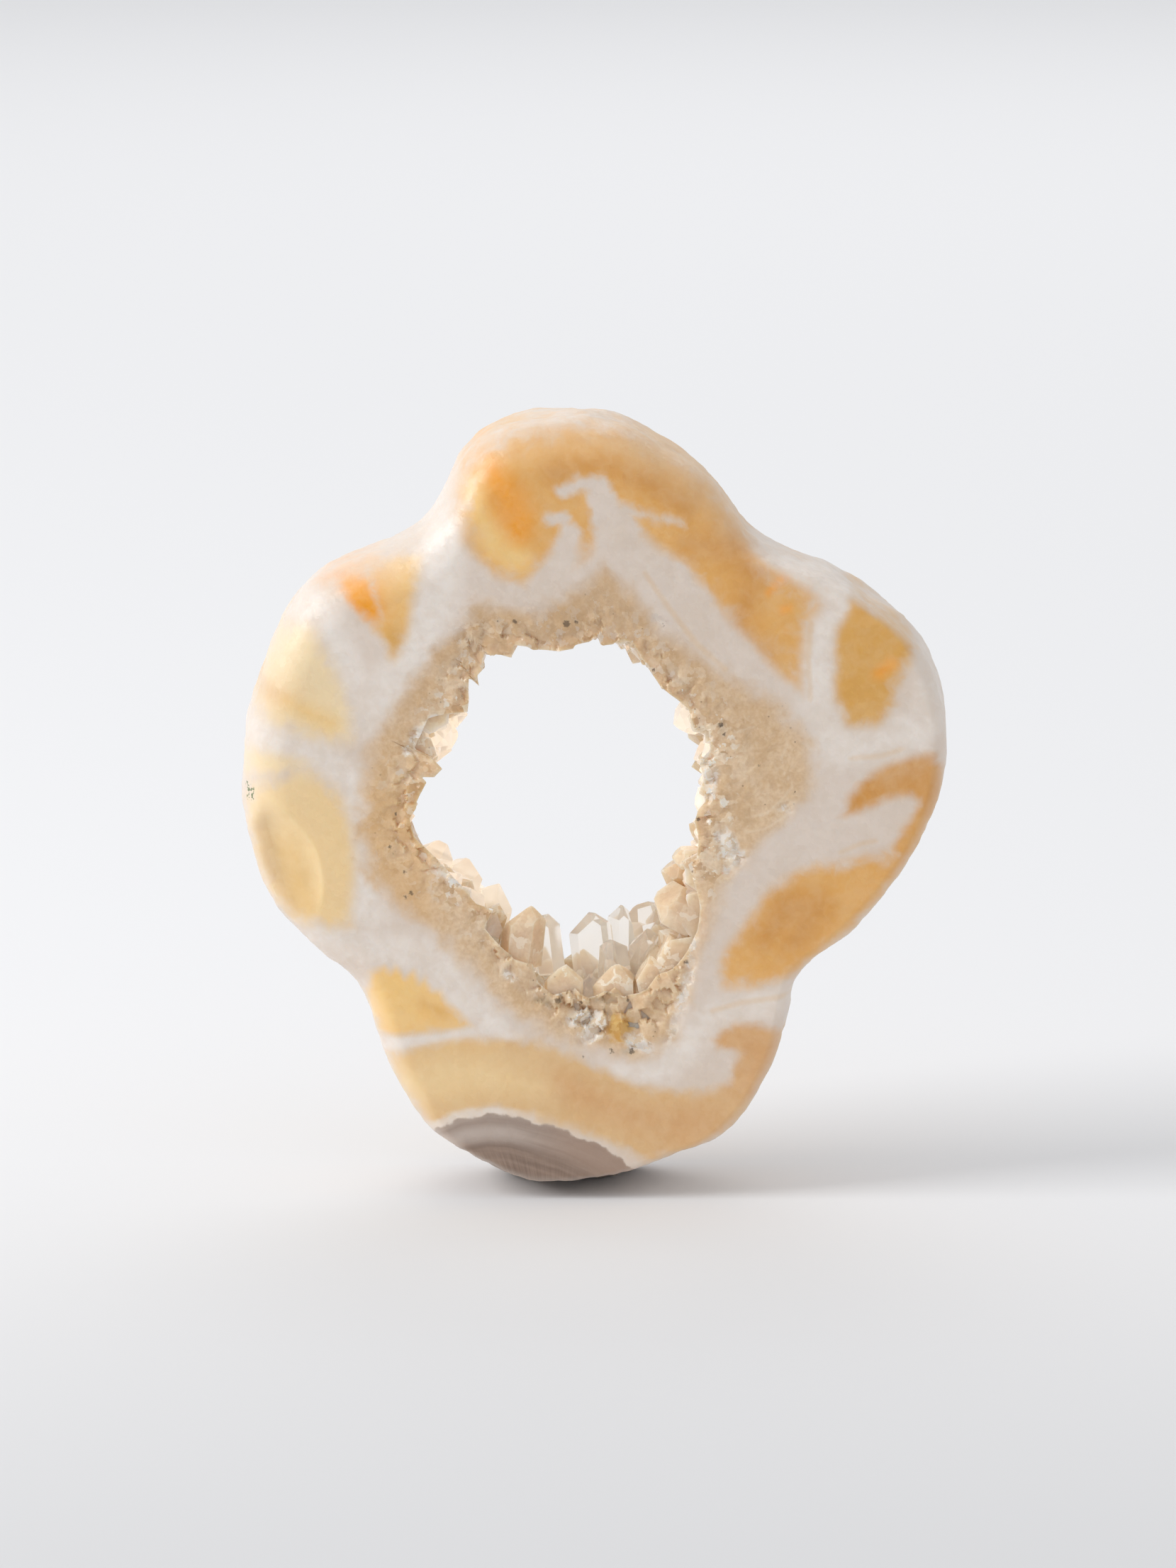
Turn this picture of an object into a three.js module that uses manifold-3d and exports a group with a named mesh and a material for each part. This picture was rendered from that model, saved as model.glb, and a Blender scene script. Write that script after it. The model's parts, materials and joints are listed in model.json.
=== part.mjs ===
// A standing slice of druzy agate: a polished slab of lobed chalcedony, with quartz points lining its hollow.
// Units are millimetres. +Z is up, +X is to the right and +Y points away from the front face.
// The origin is on the surface that the slice stands on, below the middle of the slice.
import * as THREE from "three";
import { mergeVertices } from "three/addons/utils/BufferGeometryUtils.js";
import Module from "manifold-3d";

// The slab
const THICKNESS = 14; // between the two polished faces
const RIM_BULGE = 0.9; // how far the skin swells past the edge of a face
const RIM_ROWS = 6; // steps of the skin across the thickness
const RIM_STEPS = 104; // steps of the skin round the slice
const RIM_LUMPS = [
  { height: 0.2, waves: 17, slant: 0.35 },
  { height: 0.14, waves: 29, slant: -0.5 },
]; // swellings of the skin: waves round the slice, and how far they lean across it
const BACK_TAPER = 0.5; // the back face is this much smaller all round

// The edge of the front face, clockwise from the top, as x and z
const FACE_EDGE = [
  [-3.4, 66.2], [1.5, 65.6], [5.5, 63.7], [8.4, 61.8], [10.6, 59.2],
  [12.3, 56.2], [14.9, 54.7], [20.3, 52.4], [25.4, 49.0], [28.7, 44.0],
  [29.4, 39.6], [28.7, 34.6], [26.1, 29.0], [20.6, 22.6], [16.7, 19.4],
  [15.9, 16.5], [15.0, 12.3], [12.0, 7.2], [7.2, 3.4], [3.4, 0.7],
  [-2.2, -0.2], [-7.6, 1.1], [-12.7, 4.9], [-16.7, 10.7], [-18.7, 16.2],
  [-20.2, 19.3], [-25.1, 23.2], [-28.1, 28.4], [-29.3, 35.5], [-28.6, 42.0],
  [-25.8, 49.4], [-21.7, 53.5], [-18.0, 54.5], [-15.3, 55.9], [-12.9, 58.6],
  [-11.3, 61.8], [-8.5, 65.0],
];

// A flake scar on the left of the front face: a shallow scoop left by a blow on the edge
const SCAR = { centre: [-27.2, -8.4, 30.4], radii: [4.4, 2.7, 5.7], turn: 0.42, facets: [28, 18] };

// The hollow: the crystals' roots at the front face and at the back one, clockwise from the top, as x and z
const HOLLOW_FRONT = [
  [-3.5, 49.0], [0.5, 50.0], [4.2, 48.0], [8.0, 44.6], [9.9, 41.0],
  [10.9, 36.4], [10.4, 31.4], [9.2, 27.4], [8.6, 22.6], [6.6, 16.8],
  [2.6, 14.0], [-2.4, 13.8], [-6.6, 16.4], [-9.8, 22.0], [-13.6, 26.6],
  [-16.8, 30.4], [-17.0, 35.6], [-14.6, 40.6], [-12.2, 44.8], [-9.0, 48.2],
];
const HOLLOW_BACK = [
  [-3.5, 47.4], [0.4, 48.3], [3.9, 46.4], [7.4, 43.2], [9.3, 39.8],
  [10.0, 36.0], [9.8, 31.4], [9.0, 27.0], [7.8, 22.6], [5.2, 18.8],
  [1.4, 16.8], [-2.6, 16.6], [-6.4, 18.6], [-9.8, 22.4], [-13.4, 26.4],
  [-16.0, 30.4], [-16.0, 35.0], [-13.8, 39.8], [-11.4, 43.8], [-8.4, 46.8],
];
const HOLLOW_STEPS = 40;
const OVERRUN = 1; // a cutting body reaches this far past each face

// The crust
const CRUST_SKIN = 1.0; // solid quartz between the stone and the crystals' roots
const CRUST_GAP = 0.3; // room between the crust and the stone
const ROOT_DEPTH = 0.35; // how far a crystal's foot is sunk in the crust
const SIDES = 6; // quartz grows as six-sided prisms
const SHOULDER = 0.52; // share of a crystal's length where its point begins
const FOOT_SHARE = 0.8; // half the width of a crystal's foot, as a share of that of its shoulder
const CRYSTAL_ROWS = [
  { depth: -6.4, spacing: 3.0, radius: [1.0, 1.5], length: [1.7, 2.6] },
  { depth: -2.6, spacing: 4.3, radius: [1.3, 1.8], length: [2.0, 3.0] },
  { depth: 2.0, spacing: 4.3, radius: [1.3, 1.8], length: [2.0, 3.0] },
  { depth: 6.3, spacing: 3.4, radius: [1.1, 1.6], length: [1.8, 2.7] },
]; // rings of crystals from the front face to the back one
const CRYSTAL_TILT = 0.3; // how far a crystal strays from square to the wall
const ALONG_STRAY = 0.5; // how far a foot strays along its ring, as a share of the spacing
const ACROSS_STRAY = 0.9; // how far a foot strays across its ring
const TIP_LEAN = 0.15; // how far the tip of a chosen crystal strays from its middle, for each mm of its point
const SEED = 11;

// The crystals that show best, one by one: foot (x, y, z), the way that it points, half its width and its length
const CHOSEN_CRYSTALS = [
  { foot: [-6.9, -4.7, 19.6], points: [0.14, -0.05, 1], radius: 1.8, length: 5.4 },
  { foot: [-3.6, -1.0, 18.6], points: [-0.3, 0.05, 1], radius: 1.3, length: 5.6 },
  { foot: [-3.2, -5.6, 15.0], points: [0.05, -0.05, 1], radius: 1.7, length: 4.8 },
  { foot: [-0.5, -4.6, 14.4], points: [0.0, 0.1, 1], radius: 1.3, length: 4.3 },
  { foot: [2.1, -5.2, 15.0], points: [-0.06, 0.0, 1], radius: 1.8, length: 5.0 },
  { foot: [5.4, -5.5, 17.4], points: [-0.25, 0.0, 1], radius: 1.6, length: 4.4 },
  { foot: [0.5, 3.5, 17.2], points: [-0.2, 0.0, 1], radius: 1.8, length: 6.4 },
  { foot: [2.2, 5.2, 17.6], points: [-0.05, 0.0, 1], radius: 1.5, length: 6.2 },
  { foot: [5.3, 5.2, 19.4], points: [-0.2, 0.0, 1], radius: 1.7, length: 5.0 },
  { foot: [1.6, 2.8, 16.9], points: [0.0, -0.55, 1], radius: 1.7, length: 5.0 },
  { foot: [4.9, 3.0, 18.6], points: [-0.15, -0.5, 1], radius: 1.6, length: 4.4 },
  { foot: [9.5, -5.2, 24.8], points: [-1, 0.0, 0.35], radius: 1.7, length: 3.7 },
  { foot: [9.6, -5.7, 29.2], points: [-1, 0.0, -0.1], radius: 0.9, length: 3.0 },
  { foot: [10.2, -3.2, 41.5], points: [-1, 0.0, -0.3], radius: 1.5, length: 3.6 },
  { foot: [-16.6, -5.5, 37.3], points: [1, 0.0, -0.08], radius: 1.0, length: 3.9 },
  { foot: [-15.8, 1.0, 38.0], points: [1, 0.0, 0.15], radius: 1.6, length: 3.8 },
  { foot: [-14.4, 3.0, 40.6], points: [1, 0.0, -0.1], radius: 1.4, length: 3.2 },
  { foot: [-11.4, 3.0, 23.9], points: [0.45, 0.0, 1], radius: 1.5, length: 3.3 },
  { foot: [-14.2, 3.4, 25.8], points: [0.6, 0.0, 1], radius: 1.5, length: 2.9 },
  { foot: [-8.8, 2.4, 21.4], points: [0.4, 0.0, 1], radius: 1.5, length: 3.6 },
  { foot: [-12.9, -5.7, 45.2], points: [1, 0.0, -0.35], radius: 1.5, length: 3.4 },
  { foot: [-8.0, -5.9, 49.0], points: [0.3, 0.0, -1], radius: 1.3, length: 3.0 },
];

const STONE_FINISH = { color: 0xdcb684, roughness: 0.28, metalness: 0 };
const QUARTZ_FINISH = { color: 0xd8c2a2, roughness: 0.15, metalness: 0 };

const FRONT = -THICKNESS / 2;
const BACK = THICKNESS / 2;
const PLATE = 200; // side of the blocks that trim the slice

const wasm = await Module();
wasm.setup();

/** Turns a closed geometry into a solid that can be cut and joined. */
function solidOf(geometry) {
  const bare = geometry.clone();
  bare.deleteAttribute("normal");
  bare.deleteAttribute("uv");
  const merged = mergeVertices(bare, 1e-4);
  const faces = [];
  const index = merged.index.array;
  for (let i = 0; i < index.length; i += 3) {
    const [a, b, c] = index.slice(i, i + 3);
    if (a !== b && b !== c && c !== a) faces.push(a, b, c);
  }
  const make = (corners) =>
    new wasm.Manifold(
      new wasm.Mesh({
        numProp: 3,
        vertProperties: merged.attributes.position.array,
        triVerts: new Uint32Array(corners),
      }),
    );
  const made = make(faces);
  return made.volume() > 0 ? made : make(faces.reverse());
}

/** Turns a solid back into a geometry, keeping only its largest body. */
function geometryOf(solid) {
  const whole = solid.decompose().sort((a, b) => b.volume() - a.volume())[0];
  const mesh = whole.getMesh();
  const geometry = new THREE.BufferGeometry();
  geometry.setAttribute(
    "position",
    new THREE.Float32BufferAttribute(mesh.vertProperties, mesh.numProp),
  );
  geometry.setIndex(new THREE.BufferAttribute(mesh.triVerts, 1));
  geometry.computeVertexNormals();
  return geometry;
}

/** A closed smooth line through points given as x and z. */
function closedLine(points) {
  const corners = points.map(([x, z]) => new THREE.Vector3(x, 0, z));
  return new THREE.CatmullRomCurve3(corners, true, "centripetal");
}

/** The direction square to a clockwise line in the XZ plane, pointing out of it. */
function outwardOf(tangent) {
  return new THREE.Vector3(-tangent.z, 0, tangent.x).normalize();
}

/** Triangles that fill a ring of points, each one running the same way round as the ring. */
function capTriangles(ring) {
  const flat = ring.map((p) => new THREE.Vector2(p.x, p.z));
  const triangles = THREE.ShapeUtils.triangulateShape(flat, []);
  return triangles.map((corners) => corners.sort((a, b) => a - b));
}

/** Joins rings of points, one behind the other, into one closed skin with a flat cap at each end. */
function loft(rings) {
  const steps = rings[0].length;
  const positions = rings.flat().flatMap((p) => [p.x, p.y, p.z]);
  const faces = [];
  for (let row = 0; row + 1 < rings.length; row++) {
    for (let i = 0; i < steps; i++) {
      const a = row * steps + i;
      const b = row * steps + ((i + 1) % steps);
      faces.push(a, b, b + steps, a, b + steps, a + steps);
    }
  }
  const last = (rings.length - 1) * steps;
  for (const [a, b, c] of capTriangles(rings[0])) faces.push(c, b, a);
  for (const [a, b, c] of capTriangles(rings.at(-1))) faces.push(last + a, last + b, last + c);
  const geometry = new THREE.BufferGeometry();
  geometry.setAttribute("position", new THREE.Float32BufferAttribute(positions, 3));
  geometry.setIndex(faces);
  return geometry;
}

/** The whole slab before the hollow is cut: its faces, and its skin swelling between them. */
function slabSolid() {
  const line = closedLine(FACE_EDGE);
  const rings = [];
  for (let row = 0; row <= RIM_ROWS; row++) {
    const turn = (Math.PI * row) / RIM_ROWS;
    const depth = FRONT * Math.cos(turn);
    const swell = Math.sin(turn);
    const taper = (BACK_TAPER * row) / RIM_ROWS;
    const ring = [];
    for (let i = 0; i < RIM_STEPS; i++) {
      const share = i / RIM_STEPS;
      const around = 2 * Math.PI * share;
      let out = RIM_BULGE * swell - taper;
      for (const { height, waves, slant } of RIM_LUMPS) {
        out += height * swell * Math.sin(waves * around + slant * depth);
      }
      const outward = outwardOf(line.getTangentAt(share));
      ring.push(line.getPointAt(share).addScaledVector(outward, out).setY(depth));
    }
    rings.push(ring);
  }
  return solidOf(loft(rings));
}

const frontLine = closedLine(HOLLOW_FRONT);
const backLine = closedLine(HOLLOW_BACK);

/** A point of the hollow's wall, and the way out of the hollow there. */
function wallAt(share, depth) {
  const back = (depth - FRONT) / THICKNESS;
  const point = frontLine.getPoint(share).lerp(backLine.getPoint(share), back);
  const tangent = frontLine.getTangent(share).lerp(backLine.getTangent(share), back);
  return { point: point.setY(depth), outward: outwardOf(tangent) };
}

/** The body that fills the hollow, grown by a margin all round and past both faces. */
function hollowSolid(margin) {
  const rings = [FRONT - OVERRUN, BACK + OVERRUN].map((depth) => {
    const ring = [];
    for (let i = 0; i < HOLLOW_STEPS; i++) {
      const { point, outward } = wallAt(i / HOLLOW_STEPS, depth);
      ring.push(point.addScaledVector(outward, margin));
    }
    return ring;
  });
  return solidOf(loft(rings));
}

/** A block of the slab's thickness, to trim what stands past either face. */
function thicknessBlock() {
  return solidOf(new THREE.BoxGeometry(PLATE, THICKNESS, PLATE));
}

/** Everything under the surface that the slice stands on. */
function groundBlock() {
  return solidOf(new THREE.BoxGeometry(PLATE, PLATE, PLATE).translate(0, 0, -PLATE / 2));
}

/** The scoop that takes the flake scar out of the front face. */
function scarSolid() {
  const ball = new THREE.SphereGeometry(1, ...SCAR.facets);
  ball.scale(...SCAR.radii).rotateY(SCAR.turn).translate(...SCAR.centre);
  return solidOf(ball);
}

/** Numbers from 0 to 1 that look random and are the same in every run. */
function seededRandom(seed) {
  let state = seed;
  return () => {
    state = (state + 0x6d2b79f5) | 0;
    let mixed = Math.imul(state ^ (state >>> 15), 1 | state);
    mixed = (mixed + Math.imul(mixed ^ (mixed >>> 7), 61 | mixed)) ^ mixed;
    return ((mixed ^ (mixed >>> 14)) >>> 0) / 2 ** 32;
  };
}

/** One quartz point: a six-sided prism under a pyramid whose tip leans off the middle. */
function crystalSolid(foot, points, radius, length, spin, lean) {
  const shoulder = SHOULDER * length;
  const profile = [
    new THREE.Vector2(0, 0),
    new THREE.Vector2(radius * FOOT_SHARE, 0),
    new THREE.Vector2(radius, shoulder),
    new THREE.Vector2(0, length),
  ];
  const crystal = new THREE.LatheGeometry(profile, SIDES, spin);
  const place = crystal.attributes.position;
  for (let i = 0; i < place.count; i++) {
    const above = Math.max(0, place.getY(i) - shoulder);
    place.setX(i, place.getX(i) + lean * above);
  }
  const aim = new THREE.Quaternion().setFromUnitVectors(
    new THREE.Vector3(0, 1, 0),
    points.clone().normalize(),
  );
  return solidOf(crystal.applyQuaternion(aim).translate(foot.x, foot.y, foot.z));
}

/** The rings of crystals that line the whole hollow. */
function liningCrystals() {
  const random = seededRandom(SEED);
  const between = ([low, high]) => low + (high - low) * random();
  const stray = () => CRYSTAL_TILT * (2 * random() - 1);
  const crystals = [];
  for (const row of CRYSTAL_ROWS) {
    const count = Math.round(frontLine.getLength() / row.spacing);
    for (let i = 0; i < count; i++) {
      const share = (i + 0.5 + ALONG_STRAY * (random() - 0.5)) / count;
      const depth = row.depth + ACROSS_STRAY * (random() - 0.5);
      const { point, outward } = wallAt(share % 1, depth);
      const aim = outward.clone().negate().add(new THREE.Vector3(stray(), stray(), stray()));
      const foot = point.addScaledVector(outward, ROOT_DEPTH);
      const [radius, length] = [between(row.radius), between(row.length)];
      crystals.push(crystalSolid(foot, aim, radius, length, random() * Math.PI, stray()));
    }
  }
  return crystals;
}

/** The crystals of CHOSEN_CRYSTALS. */
function chosenCrystals() {
  const random = seededRandom(SEED + 1);
  return CHOSEN_CRYSTALS.map(({ foot, points, radius, length }) => {
    const [root, aim] = [new THREE.Vector3(...foot), new THREE.Vector3(...points)];
    const lean = TIP_LEAN * (2 * random() - 1);
    return crystalSolid(root, aim, radius, length, random() * Math.PI, lean);
  });
}

/** The polished stone: the slab less the hollow, the scar and its foot's flat spot. */
function stoneGeometry() {
  const stone = slabSolid()
    .subtract(hollowSolid(CRUST_SKIN))
    .subtract(scarSolid())
    .subtract(groundBlock());
  return geometryOf(stone);
}

/** The druzy lining: a thin skin of quartz and every crystal on it, cut flat with the faces. */
function crustGeometry() {
  let crust = hollowSolid(CRUST_SKIN - CRUST_GAP).subtract(hollowSolid(0));
  for (const crystal of [...liningCrystals(), ...chosenCrystals()]) {
    crust = crust.add(crystal);
  }
  crust = crust.intersect(hollowSolid(CRUST_SKIN - CRUST_GAP)).intersect(thicknessBlock());
  return geometryOf(crust);
}

/** A named mesh with its own finish. */
function piece(name, geometry, finish) {
  const material = new THREE.MeshStandardMaterial({ ...finish, flatShading: true });
  const mesh = new THREE.Mesh(geometry, material);
  mesh.name = name;
  return mesh;
}

const slice = new THREE.Group();
slice.add(piece("agate_slice", stoneGeometry(), STONE_FINISH));
slice.add(piece("quartz_crust", crustGeometry(), QUARTZ_FINISH));

export default slice;
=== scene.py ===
"""Dresses a packed slice of druzy agate: polished chalcedony round a hollow lined with quartz points.

Shapes and markings are worked out in millimetres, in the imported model's axes: x to the right, y away from
the polished front face and z up from the surface that the slice stands on. MM turns them into metres.
"""

import json
import logging
import math
import random
from dataclasses import dataclass
from enum import Enum

import bmesh
import bpy
import numpy as np
from mathutils import Matrix, Vector, geometry, noise
from mathutils.bvhtree import BVHTree
from mathutils.kdtree import KDTree

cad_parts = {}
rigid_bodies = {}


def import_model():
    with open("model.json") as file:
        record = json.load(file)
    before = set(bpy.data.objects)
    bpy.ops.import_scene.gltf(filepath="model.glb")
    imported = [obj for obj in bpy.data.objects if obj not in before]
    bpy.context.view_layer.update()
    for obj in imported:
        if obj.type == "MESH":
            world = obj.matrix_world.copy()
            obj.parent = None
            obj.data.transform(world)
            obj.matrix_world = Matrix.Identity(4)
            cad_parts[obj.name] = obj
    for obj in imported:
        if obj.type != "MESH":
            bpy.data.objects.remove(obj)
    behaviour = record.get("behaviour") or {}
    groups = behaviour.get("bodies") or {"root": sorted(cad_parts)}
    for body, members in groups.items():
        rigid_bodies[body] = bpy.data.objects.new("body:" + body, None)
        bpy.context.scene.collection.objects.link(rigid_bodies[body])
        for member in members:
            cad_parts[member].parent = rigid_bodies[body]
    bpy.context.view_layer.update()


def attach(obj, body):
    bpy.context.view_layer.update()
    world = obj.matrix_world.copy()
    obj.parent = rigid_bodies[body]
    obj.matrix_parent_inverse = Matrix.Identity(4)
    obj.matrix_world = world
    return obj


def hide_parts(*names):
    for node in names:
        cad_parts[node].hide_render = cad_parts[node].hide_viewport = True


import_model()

MM = 0.001
SLAB_NODE = "agate_slice"
CRUST_NODE = "quartz_crust"
BODY = "root"
FRONT = -7.0  # depth of the polished front face
BACK = 7.0
VIEW_SLOPE = 0.2  # how much higher the camera sees a point for each mm that it lies further back
QUARTZ_IOR = 1.54
OUTSIDE = 60.0  # a distance from the slice's middle that is well outside it
SHARP_ANGLE = math.radians(40)  # a smooth surface keeps an edge that bends more than this

log = logging.getLogger("druzy_agate")

Colour = tuple[float, float, float]
Spot = tuple[float, float]
Dab = tuple[float, float, float]
Place = tuple[float, float, float]
Range = tuple[float, float]
Array = np.ndarray
Socket = bpy.types.NodeSocket


def linear(red: int, green: int, blue: int) -> Colour:
    """Turns a display colour into the linear one that shaders use.

    Args:
        red: Red from 0 to 255.
        green: Green from 0 to 255.
        blue: Blue from 0 to 255.

    Returns:
        The same colour as linear shares of full light.
    """
    shares = (channel / 255 for channel in (red, green, blue))
    return tuple(((s + 0.055) / 1.055) ** 2.4 if s > 0.04045 else s / 12.92 for s in shares)


class Tone(Enum):
    """The colours of the stone, among them a painted glint and a painted shade."""

    MILK = linear(229, 215, 202)
    WHITE = linear(240, 231, 222)
    HONEY = linear(232, 178, 100)
    BUFF = linear(227, 190, 138)
    # Painted shade laid in the scar beside its lip
    OCHRE = linear(222, 184, 118)
    PALE_HONEY = linear(244, 213, 160)
    WARM = linear(244, 206, 138)
    FLAME = linear(250, 166, 20)
    GOLD = linear(224, 172, 88)
    YELLOW = linear(249, 206, 133)
    STRAW = linear(246, 225, 186)
    AMBER = linear(216, 156, 78)
    ORANGE = linear(246, 166, 38)
    APRICOT = linear(220, 172, 118)
    ROSE = linear(238, 208, 186)
    TAN = linear(232, 206, 173)
    SKIN = linear(232, 219, 208)
    MILK_SHADE = linear(219, 201, 182)
    CAP_GREY = linear(166, 147, 134)
    CAP_LIGHT = linear(182, 164, 151)
    CAP_PALE = linear(194, 179, 168)
    CAP_BROWN = linear(168, 139, 119)
    CAP_DARK = linear(134, 112, 97)
    CAP_FIBRE = linear(162, 139, 123)
    CAP_EDGE = linear(214, 198, 182)
    TAN_SHADE = linear(213, 178, 134)
    TAN_HIGH = linear(204, 168, 126)
    TAN_GOLD = linear(224, 180, 120)
    SHARD_PALE = linear(246, 232, 210)
    SHARD_DARK = linear(188, 150, 106)
    SAND = linear(186, 148, 104)
    # A painted glint: near-white laid on the brightest cells of broken quartz
    GLINT = linear(255, 250, 240)
    SPECK = linear(112, 84, 58)
    SMOKE = linear(160, 142, 112)
    AMBER_DARK = linear(205, 148, 50)
    AMBER_PALE = linear(226, 186, 110)
    FROST_DARK = linear(226, 208, 184)
    FROST_PALE = linear(252, 248, 242)
    GRAIN = linear(96, 76, 52)
    MOSS = linear(84, 112, 62)
    POINT_PALE = linear(232, 221, 204)
    POINT_LIGHT = linear(240, 214, 180)
    VEIL_LIGHT = linear(250, 236, 216)
    PAPER = linear(240, 240, 241)


@dataclass(frozen=True)
class Patch:
    """A stained area of the stone, the same all through the slab.

    Attributes:
        tone: Its colour.
        soft: Half the width of its border, in mm.
        outline: The corners of its border, as x and z.
    """

    tone: Tone
    soft: float
    outline: tuple[Spot, ...]


@dataclass(frozen=True)
class Vein:
    """A band or a blot drawn along a line.

    Attributes:
        tone: Its colour.
        soft: Half the width of its border, in mm.
        line: Points of its middle, as x, z and half its width there.
    """

    tone: Tone
    soft: float
    line: tuple[Dab, ...]


# The stained areas, from the top lobe clockwise
PATCHES = (
    Patch(Tone.HONEY, 1.3, (
        (-11.2, 63.2), (-9.6, 64.6), (-6.6, 65.8), (-2.2, 66.6), (2.2, 66.4), (6.1, 65.4), (9.0, 63.0),
        (11.8, 60.0), (13.6, 57.0), (14.6, 54.6), (16.6, 53.5), (18.3, 52.2), (18.4, 50.7), (17.7, 48.9),
        (17.5, 46.5), (17.3, 44.2), (15.9, 44.0), (13.7, 46.5), (10.6, 50.1), (7.0, 54.3), (3.1, 56.5),
        (-1.4, 55.6), (-4.0, 54.8), (-4.8, 53.4), (-6.4, 53.0), (-9.0, 53.4), (-10.6, 55.6),
        (-11.2, 58.4), (-11.6, 60.9),
    )),
    Patch(Tone.GOLD, 0.6, (
        (21.4, 52.0), (23.0, 51.2), (25.0, 50.2), (26.6, 49.0), (27.0, 47.6), (26.3, 46.2), (25.2, 44.5),
        (24.8, 42.6), (23.7, 40.9), (21.3, 40.9), (20.2, 43.3), (20.0, 44.9), (20.5, 45.8), (20.1, 47.6),
        (20.1, 49.4), (20.8, 50.3),
    )),
    Patch(Tone.HONEY, 0.7, (
        (14.2, 26.0), (15.2, 27.1), (16.4, 27.7), (18.6, 28.9), (20.4, 28.9), (22.4, 29.5), (24.4, 29.7),
        (25.9, 30.7), (27.3, 32.0), (27.9, 31.2), (26.5, 28.7), (24.8, 26.4), (22.8, 24.2), (20.4, 22.0),
        (18.8, 20.8), (16.4, 19.4), (13.6, 18.6), (11.2, 18.8), (10.6, 19.8), (11.2, 21.6), (12.4, 23.0),
        (13.4, 24.7),
    )),
    Patch(Tone.APRICOT, 0.5, (
        (10.0, 13.9), (11.7, 15.1), (13.6, 15.4), (16.6, 14.2), (16.6, 12.0), (14.6, 9.0), (12.9, 6.8),
        (10.1, 5.0), (7.4, 3.3), (5.8, 4.4), (8.8, 8.0), (10.6, 9.6), (11.8, 10.9), (12.2, 12.6),
        (10.9, 12.7),
    )),
    Patch(Tone.BUFF, 0.5, (
        (-17.9, 12.4), (-14.5, 13.4), (-11.0, 14.2), (-7.4, 14.0), (-3.6, 13.2), (-0.7, 12.0),
        (1.2, 11.0), (3.6, 10.0), (7.0, 9.3), (10.1, 9.3), (12.5, 7.3), (9.4, 5.4), (7.0, 3.9),
        (4.1, 3.4), (2.2, 4.4), (-1.2, 6.1), (-5.0, 7.1), (-8.3, 7.8), (-11.5, 7.3), (-13.9, 6.1),
        (-15.3, 7.6), (-17.0, 9.8),
    )),
    Patch(Tone.YELLOW, 0.35, (
        (-19.6, 17.6), (-19.0, 19.6), (-17.9, 20.3), (-17.4, 19.7), (-16.9, 20.2), (-16.3, 19.3),
        (-15.4, 19.9), (-14.9, 18.9), (-14.4, 19.3), (-13.9, 18.2), (-13.0, 18.2), (-12.6, 17.1),
        (-11.6, 16.5), (-10.5, 15.1), (-12.1, 14.6), (-14.5, 14.5), (-16.9, 14.3), (-18.4, 14.5),
        (-19.2, 16.2),
    )),
    Patch(Tone.PALE_HONEY, 0.8, (
        (-28.9, 35.8), (-26.6, 36.6), (-24.1, 37.2), (-22.5, 36.3), (-21.4, 34.8), (-20.5, 32.4),
        (-20.0, 30.1), (-19.9, 27.8), (-20.5, 25.4), (-21.0, 24.0), (-22.6, 23.4), (-24.2, 24.1),
        (-25.8, 24.6), (-27.4, 26.0), (-28.8, 28.3), (-29.7, 31.9), (-29.7, 34.4),
    )),
    Patch(Tone.STRAW, 0.9, (
        (-26.4, 49.1), (-23.7, 49.4), (-21.8, 46.1), (-20.5, 42.7), (-20.8, 40.0), (-23.8, 39.7),
        (-27.1, 41.0), (-29.0, 42.7), (-28.6, 46.1),
    )),
    Patch(Tone.WARM, 0.6, (
        (-18.6, 54.6), (-16.6, 55.2), (-14.6, 55.2), (-14.9, 53.5), (-15.3, 51.7), (-15.5, 49.6),
        (-15.6, 48.4), (-16.3, 46.8), (-16.9, 46.0), (-17.5, 47.4), (-18.1, 48.8), (-18.5, 50.7),
        (-19.1, 52.7), (-19.1, 54.1),
    )),
)

# Hooks and blots of stain that reach past the areas
STAIN_VEINS = (
    Vein(Tone.AMBER, 0.5, (
        (20.6, 33.5, 0.3), (21.8, 34.2, 0.7), (23.2, 35.2, 1.0), (25.6, 36.5, 1.4), (27.8, 36.6, 1.8),
        (28.8, 34.8, 1.6), (28.1, 32.6, 1.4), (26.6, 30.6, 1.3),
    )),
    Vein(Tone.ORANGE, 0.6, ((-20.6, 53.2, 0.9), (-19.7, 52.4, 1.3), (-18.6, 50.8, 0.9))),
    Vein(Tone.ROSE, 0.7, ((-22.9, 53.2, 0.6), (-21.0, 54.4, 0.8), (-18.9, 55.1, 0.6))),
    Vein(Tone.GOLD, 0.5, ((-16.8, 48.2, 0.7), (-16.8, 47.0, 0.6))),
    Vein(Tone.BUFF, 0.6, ((-29.2, 43.4, 0.6), (-27.9, 43.6, 0.6), (-26.4, 43.0, 0.2))),
    Vein(Tone.PALE_HONEY, 0.9, ((-25.2, 43.0, 0.1), (-23.8, 41.8, 0.3), (-22.4, 40.0, 0.4))),
    Vein(Tone.STRAW, 0.9, ((-29.2, 37.9, 1.2), (-27.1, 37.9, 1.0), (-24.8, 38.1, 0.7))),
)
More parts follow.
